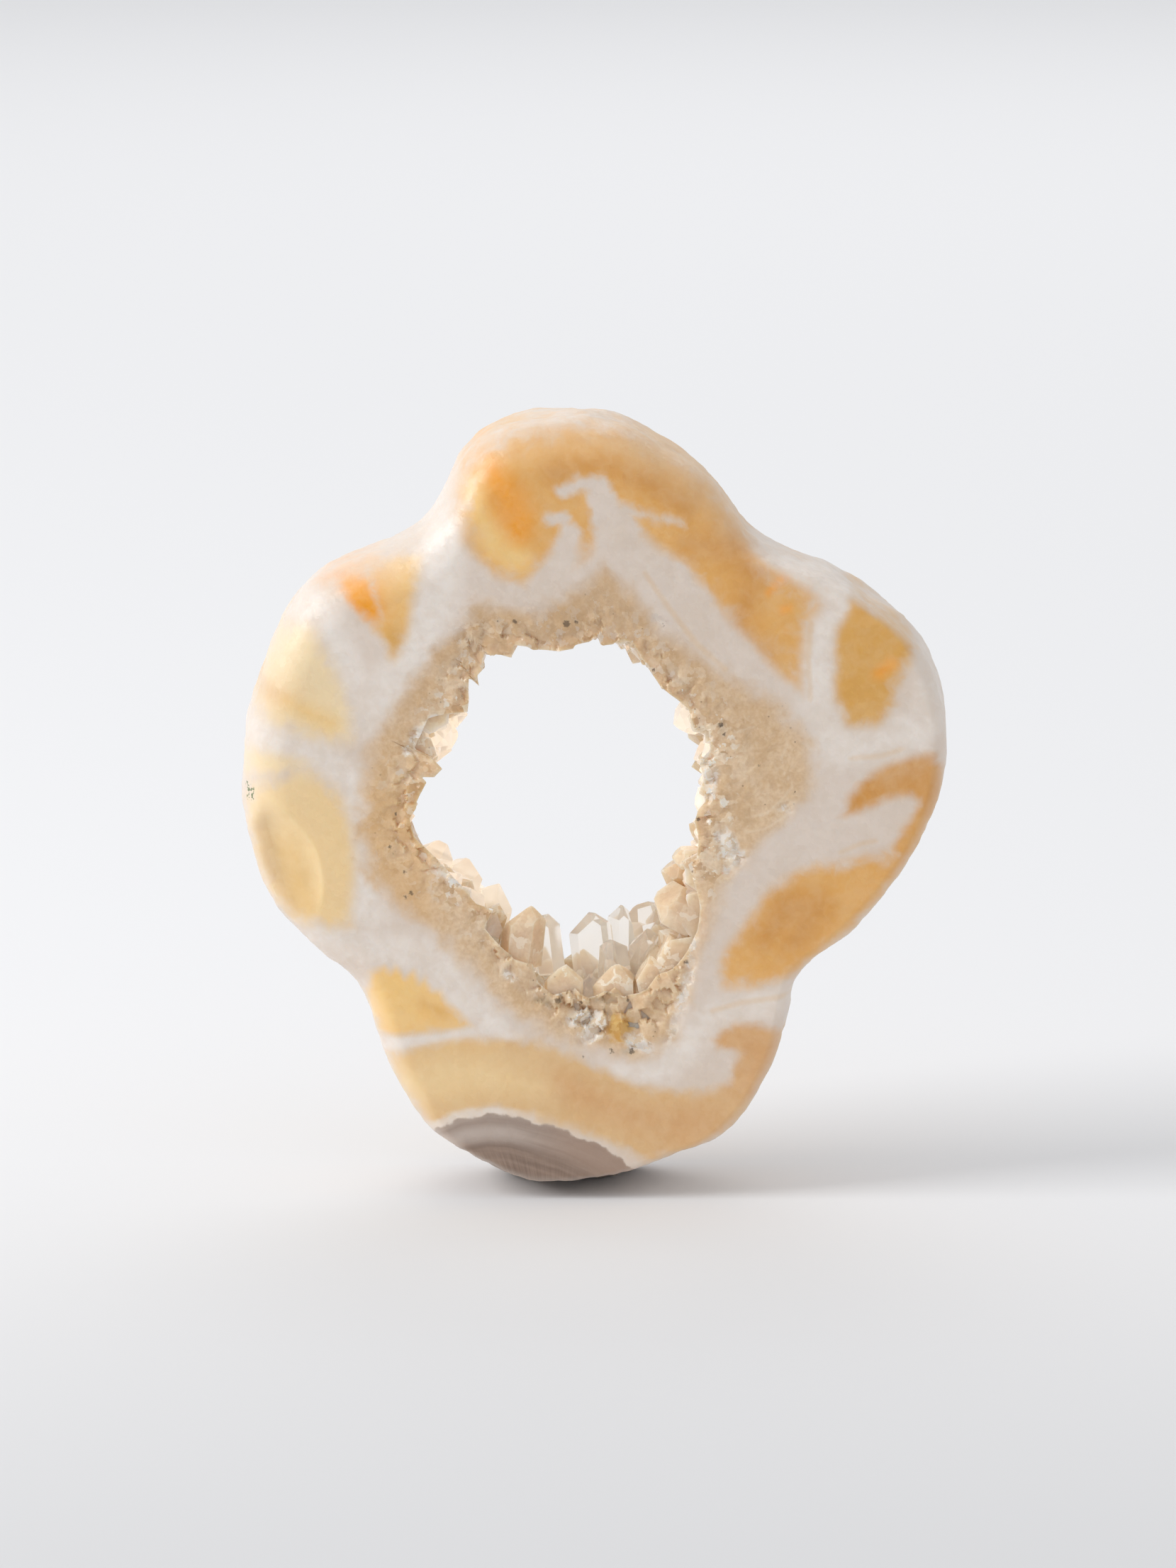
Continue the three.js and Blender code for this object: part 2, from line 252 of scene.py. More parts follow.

# Deeper colour inside the stained areas, and painted shade in the scar beside its lip
DEPTHS = (
    Vein(Tone.YELLOW, 1.1, ((-10.4, 61.4, 0.6), (-9.7, 58.8, 1.0), (-8.2, 56.6, 1.5), (-6.6, 55.2, 1.3))),
    Vein(Tone.ORANGE, 1.3, (
        (-9.2, 63.6, 0.3), (-8.0, 61.8, 0.9), (-7.2, 60.3, 1.4), (-6.8, 58.9, 1.5), (-6.5, 57.6, 1.0),
    )),
    Vein(Tone.FLAME, 0.9, ((-20.9, 53.1, 0.6), (-20.0, 51.9, 1.6), (-19.2, 50.9, 1.1))),
    Vein(Tone.GOLD, 1.0, ((-16.9, 48.6, 0.6), (-16.8, 47.2, 0.5))),
    Vein(Tone.AMBER, 1.3, ((-3.5, 62.6, 0.9), (0.5, 63.2, 0.5), (4.5, 61.6, 0.7), (7.5, 59.4, 0.6))),
    Vein(Tone.AMBER, 1.6, (
        (8.0, 56.6, 0.8), (11.4, 56.0, 1.2), (13.6, 53.6, 1.0), (12.0, 49.8, 0.8), (14.4, 46.8, 0.6),
    )),
    Vein(Tone.ORANGE, 0.4, ((14.6, 52.3, 0.2), (15.2, 53.0, 0.3), (16.0, 53.8, 0.3))),
    Vein(Tone.ORANGE, 0.5, ((15.9, 50.9, 0.3), (16.3, 51.0, 0.2))),
    Vein(Tone.ORANGE, 0.8, ((24.0, 45.5, 0.4), (25.0, 46.2, 0.4))),
    Vein(Tone.AMBER, 1.8, ((14.6, 23.0, 1.0), (16.4, 25.3, 1.7), (18.6, 25.3, 1.5), (17.0, 22.4, 1.0))),
    Vein(Tone.APRICOT, 1.4, ((24.6, 36.6, 0.3), (27.6, 37.6, 0.5))),
    Vein(Tone.GOLD, 1.2, ((-14.6, 17.0, 0.1), (-12.9, 16.2, 0.1))),
    # Painted shade: the scar's floor is darkened beside its lip, where its wall shades it
    Vein(Tone.OCHRE, 1.7, (
        (-28.0, 32.2, 0.2), (-27.1, 29.8, 1.4), (-26.2, 27.8, 1.6), (-25.4, 25.6, 1.0),
    )),
    Vein(Tone.APRICOT, 2.2, ((9.0, 6.6, 1.0), (3.0, 7.2, 1.2), (-3.0, 10.0, 0.8))),
    Vein(Tone.PALE_HONEY, 2.4, ((-16.0, 10.0, 2.0), (-10.0, 10.8, 1.8), (-4.5, 9.6, 0.2))),
    Vein(Tone.BUFF, 0.7, ((-29.0, 44.3, 0.7), (-27.6, 43.9, 0.7), (-26.2, 43.2, 0.3))),
    Vein(Tone.WARM, 1.1, ((-26.2, 43.2, 0.1), (-24.6, 42.3, 0.4), (-22.4, 41.2, 0.5))),
)

# The white veins, from the top lobe clockwise
MILK_VEINS = (
    Vein(Tone.MILK, 0.35, (
        (-2.6, 61.0, 0.6), (-1.2, 61.6, 0.8), (0.6, 61.6, 0.8), (0.5, 60.4, 1.2), (0.9, 59.0, 1.6),
        (1.9, 57.3, 2.1), (2.2, 55.4, 2.4),
    )),
    Vein(Tone.MILK, 0.4, ((2.2, 59.6, 0.5), (3.6, 59.0, 0.4), (5.8, 58.6, 0.25), (7.6, 58.2, 0.1))),
    Vein(Tone.MILK, 0.45, (
        (1.5, 56.5, 1.1), (0.2, 54.7, 0.7), (-1.7, 52.9, 0.8), (-3.6, 51.5, 1.0), (-5.2, 51.6, 1.0),
        (-7.6, 52.3, 0.9), (-9.6, 53.3, 1.1), (-12.3, 55.2, 1.5),
    )),
    Vein(Tone.MILK, 0.45, (
        (1.9, 56.9, 1.9), (4.0, 55.3, 1.6), (6.2, 53.4, 1.9), (8.1, 51.0, 1.9), (10.2, 48.4, 1.9),
        (12.0, 46.6, 1.8), (14.1, 45.2, 1.2), (16.4, 43.3, 1.1), (17.7, 41.5, 1.1),
    )),
    Vein(Tone.MILK, 0.35, (
        (-3.9, 58.7, 0.4), (-2.6, 58.4, 0.7), (-2.2, 57.2, 1.1), (-2.6, 55.6, 1.2), (-3.4, 53.9, 1.3),
        (-4.6, 52.6, 1.3),
    )),
    Vein(Tone.WHITE, 0.6, (
        (-12.3, 62.3, 0.5), (-13.2, 60.2, 0.9), (-12.8, 57.6, 1.2), (-12.9, 55.2, 1.5),
        (-13.3, 52.3, 1.4), (-14.0, 50.3, 1.3), (-14.5, 48.4, 1.3), (-15.2, 46.6, 1.4),
        (-16.9, 44.7, 1.5), (-18.6, 43.2, 1.2),
    )),
    Vein(Tone.WHITE, 0.5, (
        (14.1, 56.0, 0.4), (16.3, 54.8, 0.7), (18.5, 53.7, 0.9), (20.3, 52.4, 1.1), (20.6, 51.2, 0.7),
        (19.4, 49.4, 1.0), (18.9, 47.6, 1.0), (18.8, 44.9, 1.1), (18.9, 42.2, 1.3), (19.8, 39.8, 1.5),
        (22.4, 38.9, 1.3), (25.4, 39.6, 1.4), (27.6, 41.2, 1.5), (28.6, 43.6, 1.3), (28.2, 46.2, 1.0),
    )),
    Vein(Tone.MILK, 0.5, (
        (18.8, 40.6, 1.3), (19.6, 37.6, 1.3), (20.0, 34.8, 1.2), (19.4, 32.6, 1.2), (20.4, 31.0, 1.2),
        (21.6, 31.3, 1.3), (23.1, 31.9, 1.2), (24.5, 32.6, 1.1), (25.8, 33.5, 0.8), (26.9, 34.3, 0.4),
    )),
    Vein(Tone.MILK, 0.5, (
        (19.0, 31.9, 1.3), (16.0, 30.3, 1.3), (13.8, 28.6, 1.3), (12.2, 26.6, 1.3), (11.0, 24.6, 1.2),
        (9.7, 22.4, 1.1), (8.7, 20.4, 1.0), (9.0, 18.5, 1.0), (9.0, 16.6, 1.1),
    )),
    Vein(Tone.WHITE, 0.4, (
        (16.4, 17.6, 0.9), (14.0, 17.1, 0.9), (12.0, 16.6, 0.8), (10.0, 15.9, 0.8), (8.4, 14.5, 0.9),
        (7.1, 12.9, 1.2), (5.3, 11.3, 0.8), (3.6, 10.6, 0.5), (1.8, 11.2, 0.25),
    )),
    Vein(Tone.MILK, 0.35, (
        (11.6, 12.7, 0.4), (10.9, 12.3, 0.7), (10.1, 11.7, 0.9), (8.9, 11.0, 0.7), (7.0, 10.8, 0.8),
        (4.8, 11.0, 0.5),
    )),
    Vein(Tone.WHITE, 0.3, (
        (-19.4, 13.0, 0.7), (-18.0, 13.4, 0.5), (-15.5, 13.8, 0.3), (-12.1, 14.4, 0.3),
        (-9.3, 14.5, 0.25), (-6.9, 14.2, 0.2),
    )),
    Vein(Tone.WHITE, 0.6, (
        (-23.4, 22.4, 0.9), (-20.4, 21.9, 1.0), (-17.2, 21.7, 0.9), (-14.3, 20.9, 1.1),
        (-12.0, 18.8, 1.3), (-10.2, 16.8, 1.2), (-8.3, 15.2, 0.8),
    )),
    Vein(Tone.WHITE, 0.8, (
        (-25.0, 51.0, 0.7), (-23.7, 51.6, 0.8), (-21.7, 48.2, 0.9), (-20.2, 44.4, 0.7),
        (-19.4, 41.4, 0.7),
    )),
    Vein(Tone.WHITE, 0.6, (
        (-29.2, 40.2, 0.9), (-25.8, 39.2, 0.8), (-22.9, 38.4, 0.8), (-20.8, 36.4, 0.9),
        (-19.9, 34.0, 0.8), (-19.4, 29.2, 0.9), (-19.2, 25.2, 1.2),
    )),
)

# Thin lines of growth in the white, as x, z and half their width
THREADS = (
    ((17.3, 17.9, 0.10), (15.2, 17.5, 0.12), (12.4, 17.1, 0.12), (10.0, 16.4, 0.10)),
    ((18.2, 49.8, 0.10), (18.0, 46.6, 0.12), (18.2, 43.2, 0.10)),
    ((4.2, 54.0, 0.10), (6.4, 50.8, 0.12), (8.6, 48.0, 0.12), (11.0, 45.8, 0.10)),
    ((21.6, 38.2, 0.08), (24.2, 38.4, 0.12), (26.0, 39.0, 0.08)),
    ((20.8, 30.1, 0.08), (22.6, 30.9, 0.10), (23.8, 31.1, 0.06)),
    ((-19.0, 14.1, 0.08), (-15.8, 14.3, 0.10), (-12.6, 14.6, 0.06)),
)

# Border of the tan quartz that the hollow is set in, clockwise from the top
DRUSE_BORDER = (
    (0.9, 54.6), (2.7, 53.0), (5.6, 49.6), (10.2, 46.2), (15.4, 42.9), (18.2, 39.6), (18.6, 36.2),
    (16.2, 32.6), (12.0, 28.6), (9.6, 23.4), (8.3, 18.6), (6.9, 13.6), (3.2, 12.0), (-3.4, 13.8),
    (-8.0, 16.9), (-13.2, 22.4), (-18.9, 26.9), (-20.3, 32.0), (-19.7, 37.3), (-16.9, 42.7),
    (-13.0, 48.1), (-10.3, 51.6), (-7.9, 51.4), (-5.2, 50.6), (-1.5, 52.8),
)

# Whitish, finely broken quartz in the polished face
FROST = (
    ((10.9, 31.4, 0.7), (11.6, 29.8, 1.0), (11.2, 28.6, 0.5)),
    ((16.0, 33.9, 0.4), (16.3, 33.6, 0.2)),
    ((9.5, 39.9, 0.4), (9.3, 38.2, 0.5), (9.9, 36.2, 0.6), (9.7, 34.9, 0.3)),
    ((-13.4, 41.4, 0.4), (-14.8, 40.4, 0.6), (-15.7, 38.9, 0.4)),
    ((-10.6, 27.2, 0.3), (-12.0, 27.6, 0.4), (-13.6, 28.6, 0.2)),
    ((8.4, 22.6, 0.3), (8.0, 19.6, 0.4), (7.2, 16.4, 0.4), (6.2, 13.4, 0.3)),
    ((-1.4, 15.8, 0.9), (0.2, 15.4, 1.0), (-0.6, 14.2, 0.9)),
    ((3.0, 13.8, 0.7), (4.4, 13.1, 0.6)),
    ((-7.9, 20.0, 0.3), (-7.0, 19.2, 0.35)),
    ((-14.2, 40.6, 0.4), (-14.0, 40.0, 0.3)),
    ((5.2, 50.3, 0.35), (5.8, 49.9, 0.2)),
)

# Amber quartz, and the smoky quartz next to the pocket
AMBER_SPOT = ((1.2, 15.4, 1.0), (2.3, 14.9, 1.1), (2.2, 14.2, 0.8))
SMOKE = (
    ((-4.9, 17.4, 0.25), (-3.4, 17.2, 0.5), (-2.4, 17.7, 0.3)),
    ((-0.2, 17.3, 0.3), (1.0, 17.4, 0.4)),
    ((2.6, 12.9, 0.25), (3.2, 13.3, 0.2)),
)

# Dark grains, as x, z and radius
GRAINS = (
    (-6.75, 49.9, 0.22), (-2.4, 49.7, 0.3), (-1.6, 49.8, 0.2), (2.7, 47.7, 0.28), (5.7, 49.6, 0.15),
    (4.0, 49.2, 0.14), (5.0, 45.7, 0.16), (-9.4, 26.7, 0.16), (-8.2, 50.0, 0.12), (10.65, 41.05, 0.24),
    (11.0, 40.3, 0.2), (13.8, 37.6, 0.13), (16.9, 35.2, 0.12), (8.5, 35.5, 0.28), (8.7, 32.95, 0.22),
    (-3.1, 17.3, 0.25), (-1.2, 17.0, 0.2), (4.3, 18.3, 0.16), (2.8, 17.2, 0.18), (3.1, 12.8, 0.25),
    (1.4, 12.9, 0.2), (7.7, 20.6, 0.2), (8.2, 28.4, 0.12), (-16.9, 33.4, 0.14), (-17.4, 30.6, 0.16),
    (-17.0, 30.1, 0.12), (-16.2, 28.4, 0.16), (-15.6, 26.6, 0.2), (-16.1, 26.2, 0.14), (-13.0, 39.3, 0.2),
    (-12.2, 37.4, 0.12), (-1.0, 12.4, 0.12),
)
MOSS = ((-29.75, 35.6, 0.1), (-29.3, 35.0, 0.25), (-29.4, 34.3, 0.1))
CRACKS = (
    (
        (16.3, 39.4, 0.02), (15.8, 38.4, 0.04), (15.8, 37.2, 0.05), (16.8, 35.9, 0.04), (15.6, 34.4, 0.04),
        (14.4, 33.4, 0.05), (13.2, 33.2, 0.02),
    ),
    ((10.4, 41.6, 0.02), (11.9, 40.4, 0.04), (13.4, 40.9, 0.02)),
    ((17.0, 33.8, 0.02), (14.6, 32.2, 0.05), (12.8, 31.8, 0.02)),
)

# Top of the grey cap at the foot of the slice, left to right, and the point that its fibres spread from
CAP_TOP = (
    (-15.0, 4.9), (-13.6, 6.1), (-11.6, 7.0), (-9.2, 7.35), (-6.9, 7.2), (-4.5, 6.5), (-1.9, 5.7),
    (1.2, 4.3), (3.2, 2.7), (5.0, 0.6),
)
CAP_FOCUS = (-3.4, -9.0)


def smoothstep(low: float, high: float, value: Array) -> Array:
    """Eases from 0 to 1.

    Args:
        low: Where the ramp leaves 0.
        high: Where it reaches 1.
        value: The values to ease.

    Returns:
        A share from 0 to 1 for each value.
    """
    share = np.clip((value - low) / (high - low), 0.0, 1.0)
    return share * share * (3 - 2 * share)


def fractal(points: Array, size: float, octaves: int = 3) -> Array:
    """Reads a cloudy field at many points.

    Args:
        points: Points in mm, one a row.
        size: Width of the largest clouds, in mm.
        octaves: How many finer layers are added.

    Returns:
        A value between about -1 and 1 for each point.
    """
    scaled = (points / size).tolist()
    return np.array([noise.fractal(p, 1.0, 2.0, octaves) for p in scaled])


def distance_to_line(spots: Array, line: tuple[Dab, ...]) -> Array:
    """Measures how deep spots lie in a band.

    Args:
        spots: Spots as x and z, one a row.
        line: The band's middle, as x, z and half its width.

    Returns:
        The band's half width less the distance to its middle, in mm: above 0 inside it.
    """
    best = np.full(len(spots), -1e3)
    for (ax, az, a_half), (bx, bz, b_half) in zip(line, line[1:]):
        start = np.array((ax, az))
        along = np.array((bx, bz)) - start
        share = np.clip((spots - start) @ along / max(along @ along, 1e-9), 0.0, 1.0)
        gap = np.linalg.norm(spots - start - share[:, None] * along, axis=1)
        best = np.maximum(best, a_half + share * (b_half - a_half) - gap)
    return best


def distance_to_lines(spots: Array, lines: tuple[tuple[Dab, ...], ...]) -> Array:
    """Measures how deep spots lie in the nearest of several bands, as distance_to_line does for one."""
    return np.max([distance_to_line(spots, line) for line in lines], axis=0)


def depth_in_outline(spots: Array, outline: tuple[Spot, ...]) -> Array:
    """Measures how deep spots lie in a closed outline.

    Args:
        spots: Spots as x and z, one a row.
        outline: Corners of the outline, as x and z.

    Returns:
        The distance to the outline in mm: above 0 inside it and below 0 outside.
    """
    inside = np.zeros(len(spots), bool)
    nearest = np.full(len(spots), 1e3)
    x, z = spots[:, 0], spots[:, 1]
    for (ax, az), (bx, bz) in zip(outline, outline[1:] + outline[:1]):
        start = np.array((ax, az))
        along = np.array((bx, bz)) - start
        share = np.clip((spots - start) @ along / max(along @ along, 1e-9), 0.0, 1.0)
        nearest = np.minimum(nearest, np.linalg.norm(spots - start - share[:, None] * along, axis=1))
        crosses = (az > z) != (bz > z)
        rise = bz - az if bz != az else 1e-9
        inside ^= crosses & (x < ax + (z - az) / rise * (bx - ax))
    return np.where(inside, nearest, -nearest)


@dataclass(frozen=True)
class Markings:
    """Where the stone's colours lie, worked out for any points of it.

    Attributes:
        drift: How far the markings wander sideways from the front face to the back one, in mm.
        drift_size: Width of that wandering, in mm.
        stain_blend: How far a stained area's colour reaches past its border, in mm.
        shallow: How far behind the front face its small marks still show, in mm.
        limit: Largest depth that is kept, in softnesses.
        sway_shifts: Shifts that make the wandering to the side unlike the one upwards, in mm.
        stain_reach: Furthest distance that a stain's colour is weighed at, in mm.
        trace: Weight of plain honey, which colours what lies far from every stain.
        whitening: Depths in a white vein between which the milk beside it whitens, in mm.
        druse_limit: Largest depth in the tan quartz that is kept, in mm.
        sugar_limit: Largest distance from the hollow's outline that is kept, in mm.
    """

    drift: float = 2.6
    drift_size: float = 9.0
    stain_blend: float = 1.2
    shallow: float = 3.0
    limit: float = 4.0
    sway_shifts: tuple[Place, Place] = ((31.0, 0.0, 0.0), (0.0, 0.0, 57.0))
    stain_reach: float = 30.0
    trace: float = 1e-6
    whitening: Range = (-1.5, 0.8)
    druse_limit: float = 12.0
    sugar_limit: float = 9.0

    def fields(self, points: Array) -> dict[str, Array]:
        """Works out every marking at every point.

        Args:
            points: Points in mm, one a row.

        Returns:
            One array for each attribute that the stone's shader reads.
        """
        spots = self._wandered(points)
        front = points[:, 1] < FRONT + self.shallow
        stain, honey = self._stains(spots)
        milk, vein = self._veins(spots)
        dabs = tuple((dab, dab) for dab in GRAINS)
        cap_edge = tuple((x, z, 0.0) for x, z in CAP_TOP)
        below = depth_in_outline(spots, CAP_TOP + ((5.0, -9.0), (-15.0, -9.0)))
        side = -distance_to_line(spots, cap_edge)
        druse = depth_in_outline(spots, DRUSE_BORDER)
        return {
            "stain": stain,
            "honey": honey,
            "milk": milk,
            "vein": vein,
            "thread": self._kept(distance_to_lines(spots, THREADS)),
            "druse": np.clip(druse, -self.druse_limit, self.druse_limit),
            "frost": self._kept(distance_to_lines(spots, FROST)),
            "amber": self._kept(distance_to_line(spots, AMBER_SPOT)),
            "grain": np.where(front, distance_to_lines(spots, dabs), -1.0),
            "moss": np.where(front, distance_to_line(spots, MOSS), -1.0),
            "crack": np.clip(distance_to_lines(spots, CRACKS), -1, 1),
            "sugar": np.clip(-depth_in_outline(spots, HOLLOW_VIEW), -1, self.sugar_limit),
            "smoke": self._kept(distance_to_lines(spots, SMOKE)),
            "cap": np.where(below > 0, side, -side),
            "cap_fan": np.arctan2(spots[:, 0] - CAP_FOCUS[0], spots[:, 1] - CAP_FOCUS[1]),
        }

    def _kept(self, depth: Array) -> Array:
        """Keeps depths within the limit."""
        return np.clip(depth, -self.limit, self.limit)

    def _wandered(self, points: Array) -> Array:
        """Moves points sideways, more the further they lie behind the front face.

        Args:
            points: Points in mm, one a row.

        Returns:
            The spots where their markings are read, as x and z, one a row.
        """
        behind = np.clip((points[:, 1] - FRONT) / (BACK - FRONT), 0.0, 1.0)[:, None]
        sways = [fractal(points + np.array(shift), self.drift_size, 2) for shift in self.sway_shifts]
        return points[:, (0, 2)] + np.column_stack(sways) * behind * self.drift

    def _stains(self, spots: Array) -> tuple[Array, Array]:
        """Colours the stained areas.

        Args:
            spots: Spots as x and z, one a row.

        Returns:
            The stain's colour at each spot, and how deep the spot lies in one, in softnesses.
        """
        total = np.zeros((len(spots), 3))
        weight = np.full(len(spots), self.trace)
        honey = np.full(len(spots), -self.limit)
        areas = [(p.tone, p.soft, depth_in_outline(spots, p.outline)) for p in PATCHES]
        areas += [(v.tone, v.soft, distance_to_line(spots, v.line)) for v in STAIN_VEINS]
        for tone, soft, depth in areas:
            near = np.exp(np.clip(depth, -self.stain_reach, 0) / self.stain_blend)
            total += near[:, None] * np.array(tone.value)
            weight += near
            honey = np.maximum(honey, self._kept(depth / soft))
        stain = (total + self.trace * np.array(Tone.HONEY.value)) / weight[:, None]
        for vein in DEPTHS:
            share = smoothstep(-vein.soft, vein.soft, distance_to_line(spots, vein.line))[:, None]
            stain = stain * (1 - share) + np.array(vein.tone.value) * share
        return stain, honey

    def _veins(self, spots: Array) -> tuple[Array, Array]:
        """Colours the white veins.

        Args:
            spots: Spots as x and z, one a row.

        Returns:
            How white the milk is there, from 0 to 1, and the spot's depth in a vein, in softnesses.
        """
        milk = np.zeros(len(spots))
        vein = np.full(len(spots), -self.limit)
        for band in MILK_VEINS:
            depth = distance_to_line(spots, band.line)
            vein = np.maximum(vein, self._kept(depth / band.soft))
            if band.tone is Tone.WHITE:
                milk = np.maximum(milk, smoothstep(*self.whitening, depth))
        return milk, vein


def mesh_object(
    name: str, points: Array, faces: list[tuple[int, ...]], smooth: bool,
) -> bpy.types.Object:
    """Makes a scene object from points in mm.

    Args:
        name: The object's name.
        points: Its corners in mm, one a row.
        faces: Its faces, as indices of corners.
        smooth: Whether it is shaded smooth.

    Returns:
        The new object, linked to the scene.
    """
    mesh = bpy.data.meshes.new(name)
    mesh.from_pydata((points * MM).tolist(), [], faces)
    mesh.validate()
    mesh.polygons.foreach_set("use_smooth", [smooth] * len(mesh.polygons))
    piece = bpy.data.objects.new(name, mesh)
    bpy.context.scene.collection.objects.link(piece)
    return piece


def keep_attribute(mesh: bpy.types.Mesh, name: str, values: Array) -> None:
    """Stores a value or a colour for each corner point of a mesh.

    Args:
        mesh: The mesh.
        name: The attribute's name, which the shader reads.
        values: One number or one colour for each point.
    """
    if values.ndim == 1:
        mesh.attributes.new(name, "FLOAT", "POINT").data.foreach_set("value", values.astype(np.float32))
        return
    colours = np.column_stack([values, np.ones(len(values))]).astype(np.float32)
    mesh.attributes.new(name, "FLOAT_COLOR", "POINT").data.foreach_set("color", colours.ravel())


class NodeSheet:
    """A node tree that is filled from left to right.

    Attributes:
        tree: The node tree.
    """

    def __init__(self, tree: bpy.types.NodeTree) -> None:
        """Wraps a tree, emptying it first."""
        self.tree = tree
        tree.nodes.clear()

    def add(self, kind: str, inputs: dict | None = None, **settings: object) -> bpy.types.Node:
        """Adds one node.

        Args:
            kind: The node's type, without its ShaderNode prefix.
            inputs: What feeds its inputs, by name or index: another node's output, or a plain value.
            settings: The node's own settings.

        Returns:
            The new node.
        """
        node = self.tree.nodes.new(kind if kind.startswith("NodeGroup") else "ShaderNode" + kind)
        for key, value in settings.items():
            setattr(node, key, value)
        for key, value in (inputs or {}).items():
            if isinstance(value, Socket):
                self.tree.links.new(value, node.inputs[key])
            else:
                node.inputs[key].default_value = value
        return node

    def maths(self, operation: str, *values: object, clamp: bool = False) -> Socket:
        """Adds a Math node.

        Args:
            operation: What it works out.
            values: Its inputs in order, sockets or numbers.
            clamp: Whether the result is kept from 0 to 1.

        Returns:
            Its output.
        """
        inputs = dict(enumerate(values))
        return self.add("Math", inputs, operation=operation, use_clamp=clamp).outputs[0]

    def times(self, first: object, second: object) -> Socket:
        """Multiplies two numbers."""
        return self.maths("MULTIPLY", first, second)

    def ramp(
        self, value: object, low: float, high: float, start: float = 0.0, end: float = 1.0,
    ) -> Socket:
        """Eases a value from one range into another.

        Args:
            value: The socket to ease.
            low: Where the ramp starts.
            high: Where it ends.
            start: The result at low and before it.
            end: The result at high and past it.

        Returns:
            The eased value.
        """
        inputs = {"Value": value, "From Min": low, "From Max": high, "To Min": start, "To Max": end}
        return self.add("MapRange", inputs, interpolation_type="SMOOTHSTEP").outputs["Result"]

    def mix(self, share: object, below: object, above: object) -> Socket:
        """Mixes two colours.

        Args:
            share: How much of the second one shows, from 0 to 1.
            below: The first colour, as a socket, a tone or three numbers.
            above: The second colour, the same way.

        Returns:
            The mixed colour.
        """
        inputs = {0: share, 6: opaque(below), 7: opaque(above)}
        return self.add("Mix", inputs, data_type="RGBA").outputs[2]

    def attribute(self, name: str, output: str = "Fac") -> Socket:
        """Reads one of the mesh's attributes."""
        return self.add("Attribute", attribute_name=name).outputs[output]

    def vectors(self, operation: str, first: object, second: object = None) -> Socket:
        """Adds a Vector Math node.

        Args:
            operation: What it works out.
            first: Its first vector.
            second: Its second one, or the number that SCALE multiplies by.

        Returns:
            Its output.
        """
        inputs = {0: first}
        if second is not None:
            inputs["Scale" if operation == "SCALE" else 1] = second
        return self.add("VectorMath", inputs, operation=operation).outputs["Vector"]

    def axis(self, place: object, name: str) -> Socket:
        """Reads one axis of a place or of a colour."""
        return self.add("SeparateXYZ", {0: place}).outputs[name]

    def group(self, tree: bpy.types.NodeTree, inputs: dict) -> bpy.types.Node:
        """Adds a node group.

        Args:
            tree: The group.
            inputs: What feeds it, by the names of its inputs.

        Returns:
            Its node.
        """
        return self.add("Group", {key: opaque(value) for key, value in inputs.items()}, node_tree=tree)

    def millimetres(self) -> Socket:
        """Gives the place on the object, in mm."""
        return self.vectors("SCALE", self.add("TexCoord").outputs["Object"], 1 / MM)

    def cloud(self, place: Socket, size: float, detail: float = 2.0, warp: float = 0.0) -> Socket:
        """Adds a cloudy field.

        Args:
            place: Where it is read, in mm.
            size: Width of its clouds, in mm.
            detail: How many finer layers it has.
            warp: How far it swirls.

        Returns:
            Its value, mostly between 0.3 and 0.7.
        """
        inputs = {"Vector": place, "Scale": 1 / size, "Detail": detail, "Distortion": warp}
        return self.add("TexNoise", inputs, noise_dimensions="3D").outputs["Fac"]

    def stray(
        self, place: Socket, size: float, reach: float, detail: float = 2.0, warp: float = 0.0,
    ) -> Socket:
        """Adds a cloudy field about 0, to make a border wander.

        Args:
            place: Where it is read, in mm.
            size: Width of its clouds, in mm.
            reach: How far it makes the border wander, in mm.
            detail: How many finer layers it has.
            warp: How far it swirls.

        Returns:
            Its value, mostly within a fifth of the reach of 0.
        """
        cloud = self.cloud(place, size, detail, warp)
        return self.times(self.maths("SUBTRACT", cloud, 0.5), reach)

    def wandering(self, name: str, stray: Socket) -> Socket:
        """Reads one of the mesh's depths and makes its border wander."""
        return self.maths("ADD", self.attribute(name), stray)

    def finish(self, shader: bpy.types.Node, volume: bpy.types.Node | None = None) -> bpy.types.Material:
        """Joins a material's shader to its output.

        Args:
            shader: The surface shader.
            volume: The shader of its inside, if it has one.

        Returns:
            The material that this sheet belongs to.
        """
        leave = self.add("OutputMaterial")
        self.tree.links.new(shader.outputs[0], leave.inputs["Surface"])
        if volume:
            self.tree.links.new(volume.outputs[0], leave.inputs["Volume"])
        return next(m for m in bpy.data.materials if m.node_tree == self.tree)


def opaque(value: object) -> object:
    """Adds full alpha to a colour.

    Args:
        value: A tone, three numbers, or anything else.

    Returns:
        The colour as four numbers. Anything but a tone or three numbers is left as it is.
    """
    if isinstance(value, Tone):
        value = value.value
    return (*value, 1.0) if isinstance(value, tuple) and len(value) == 3 else value


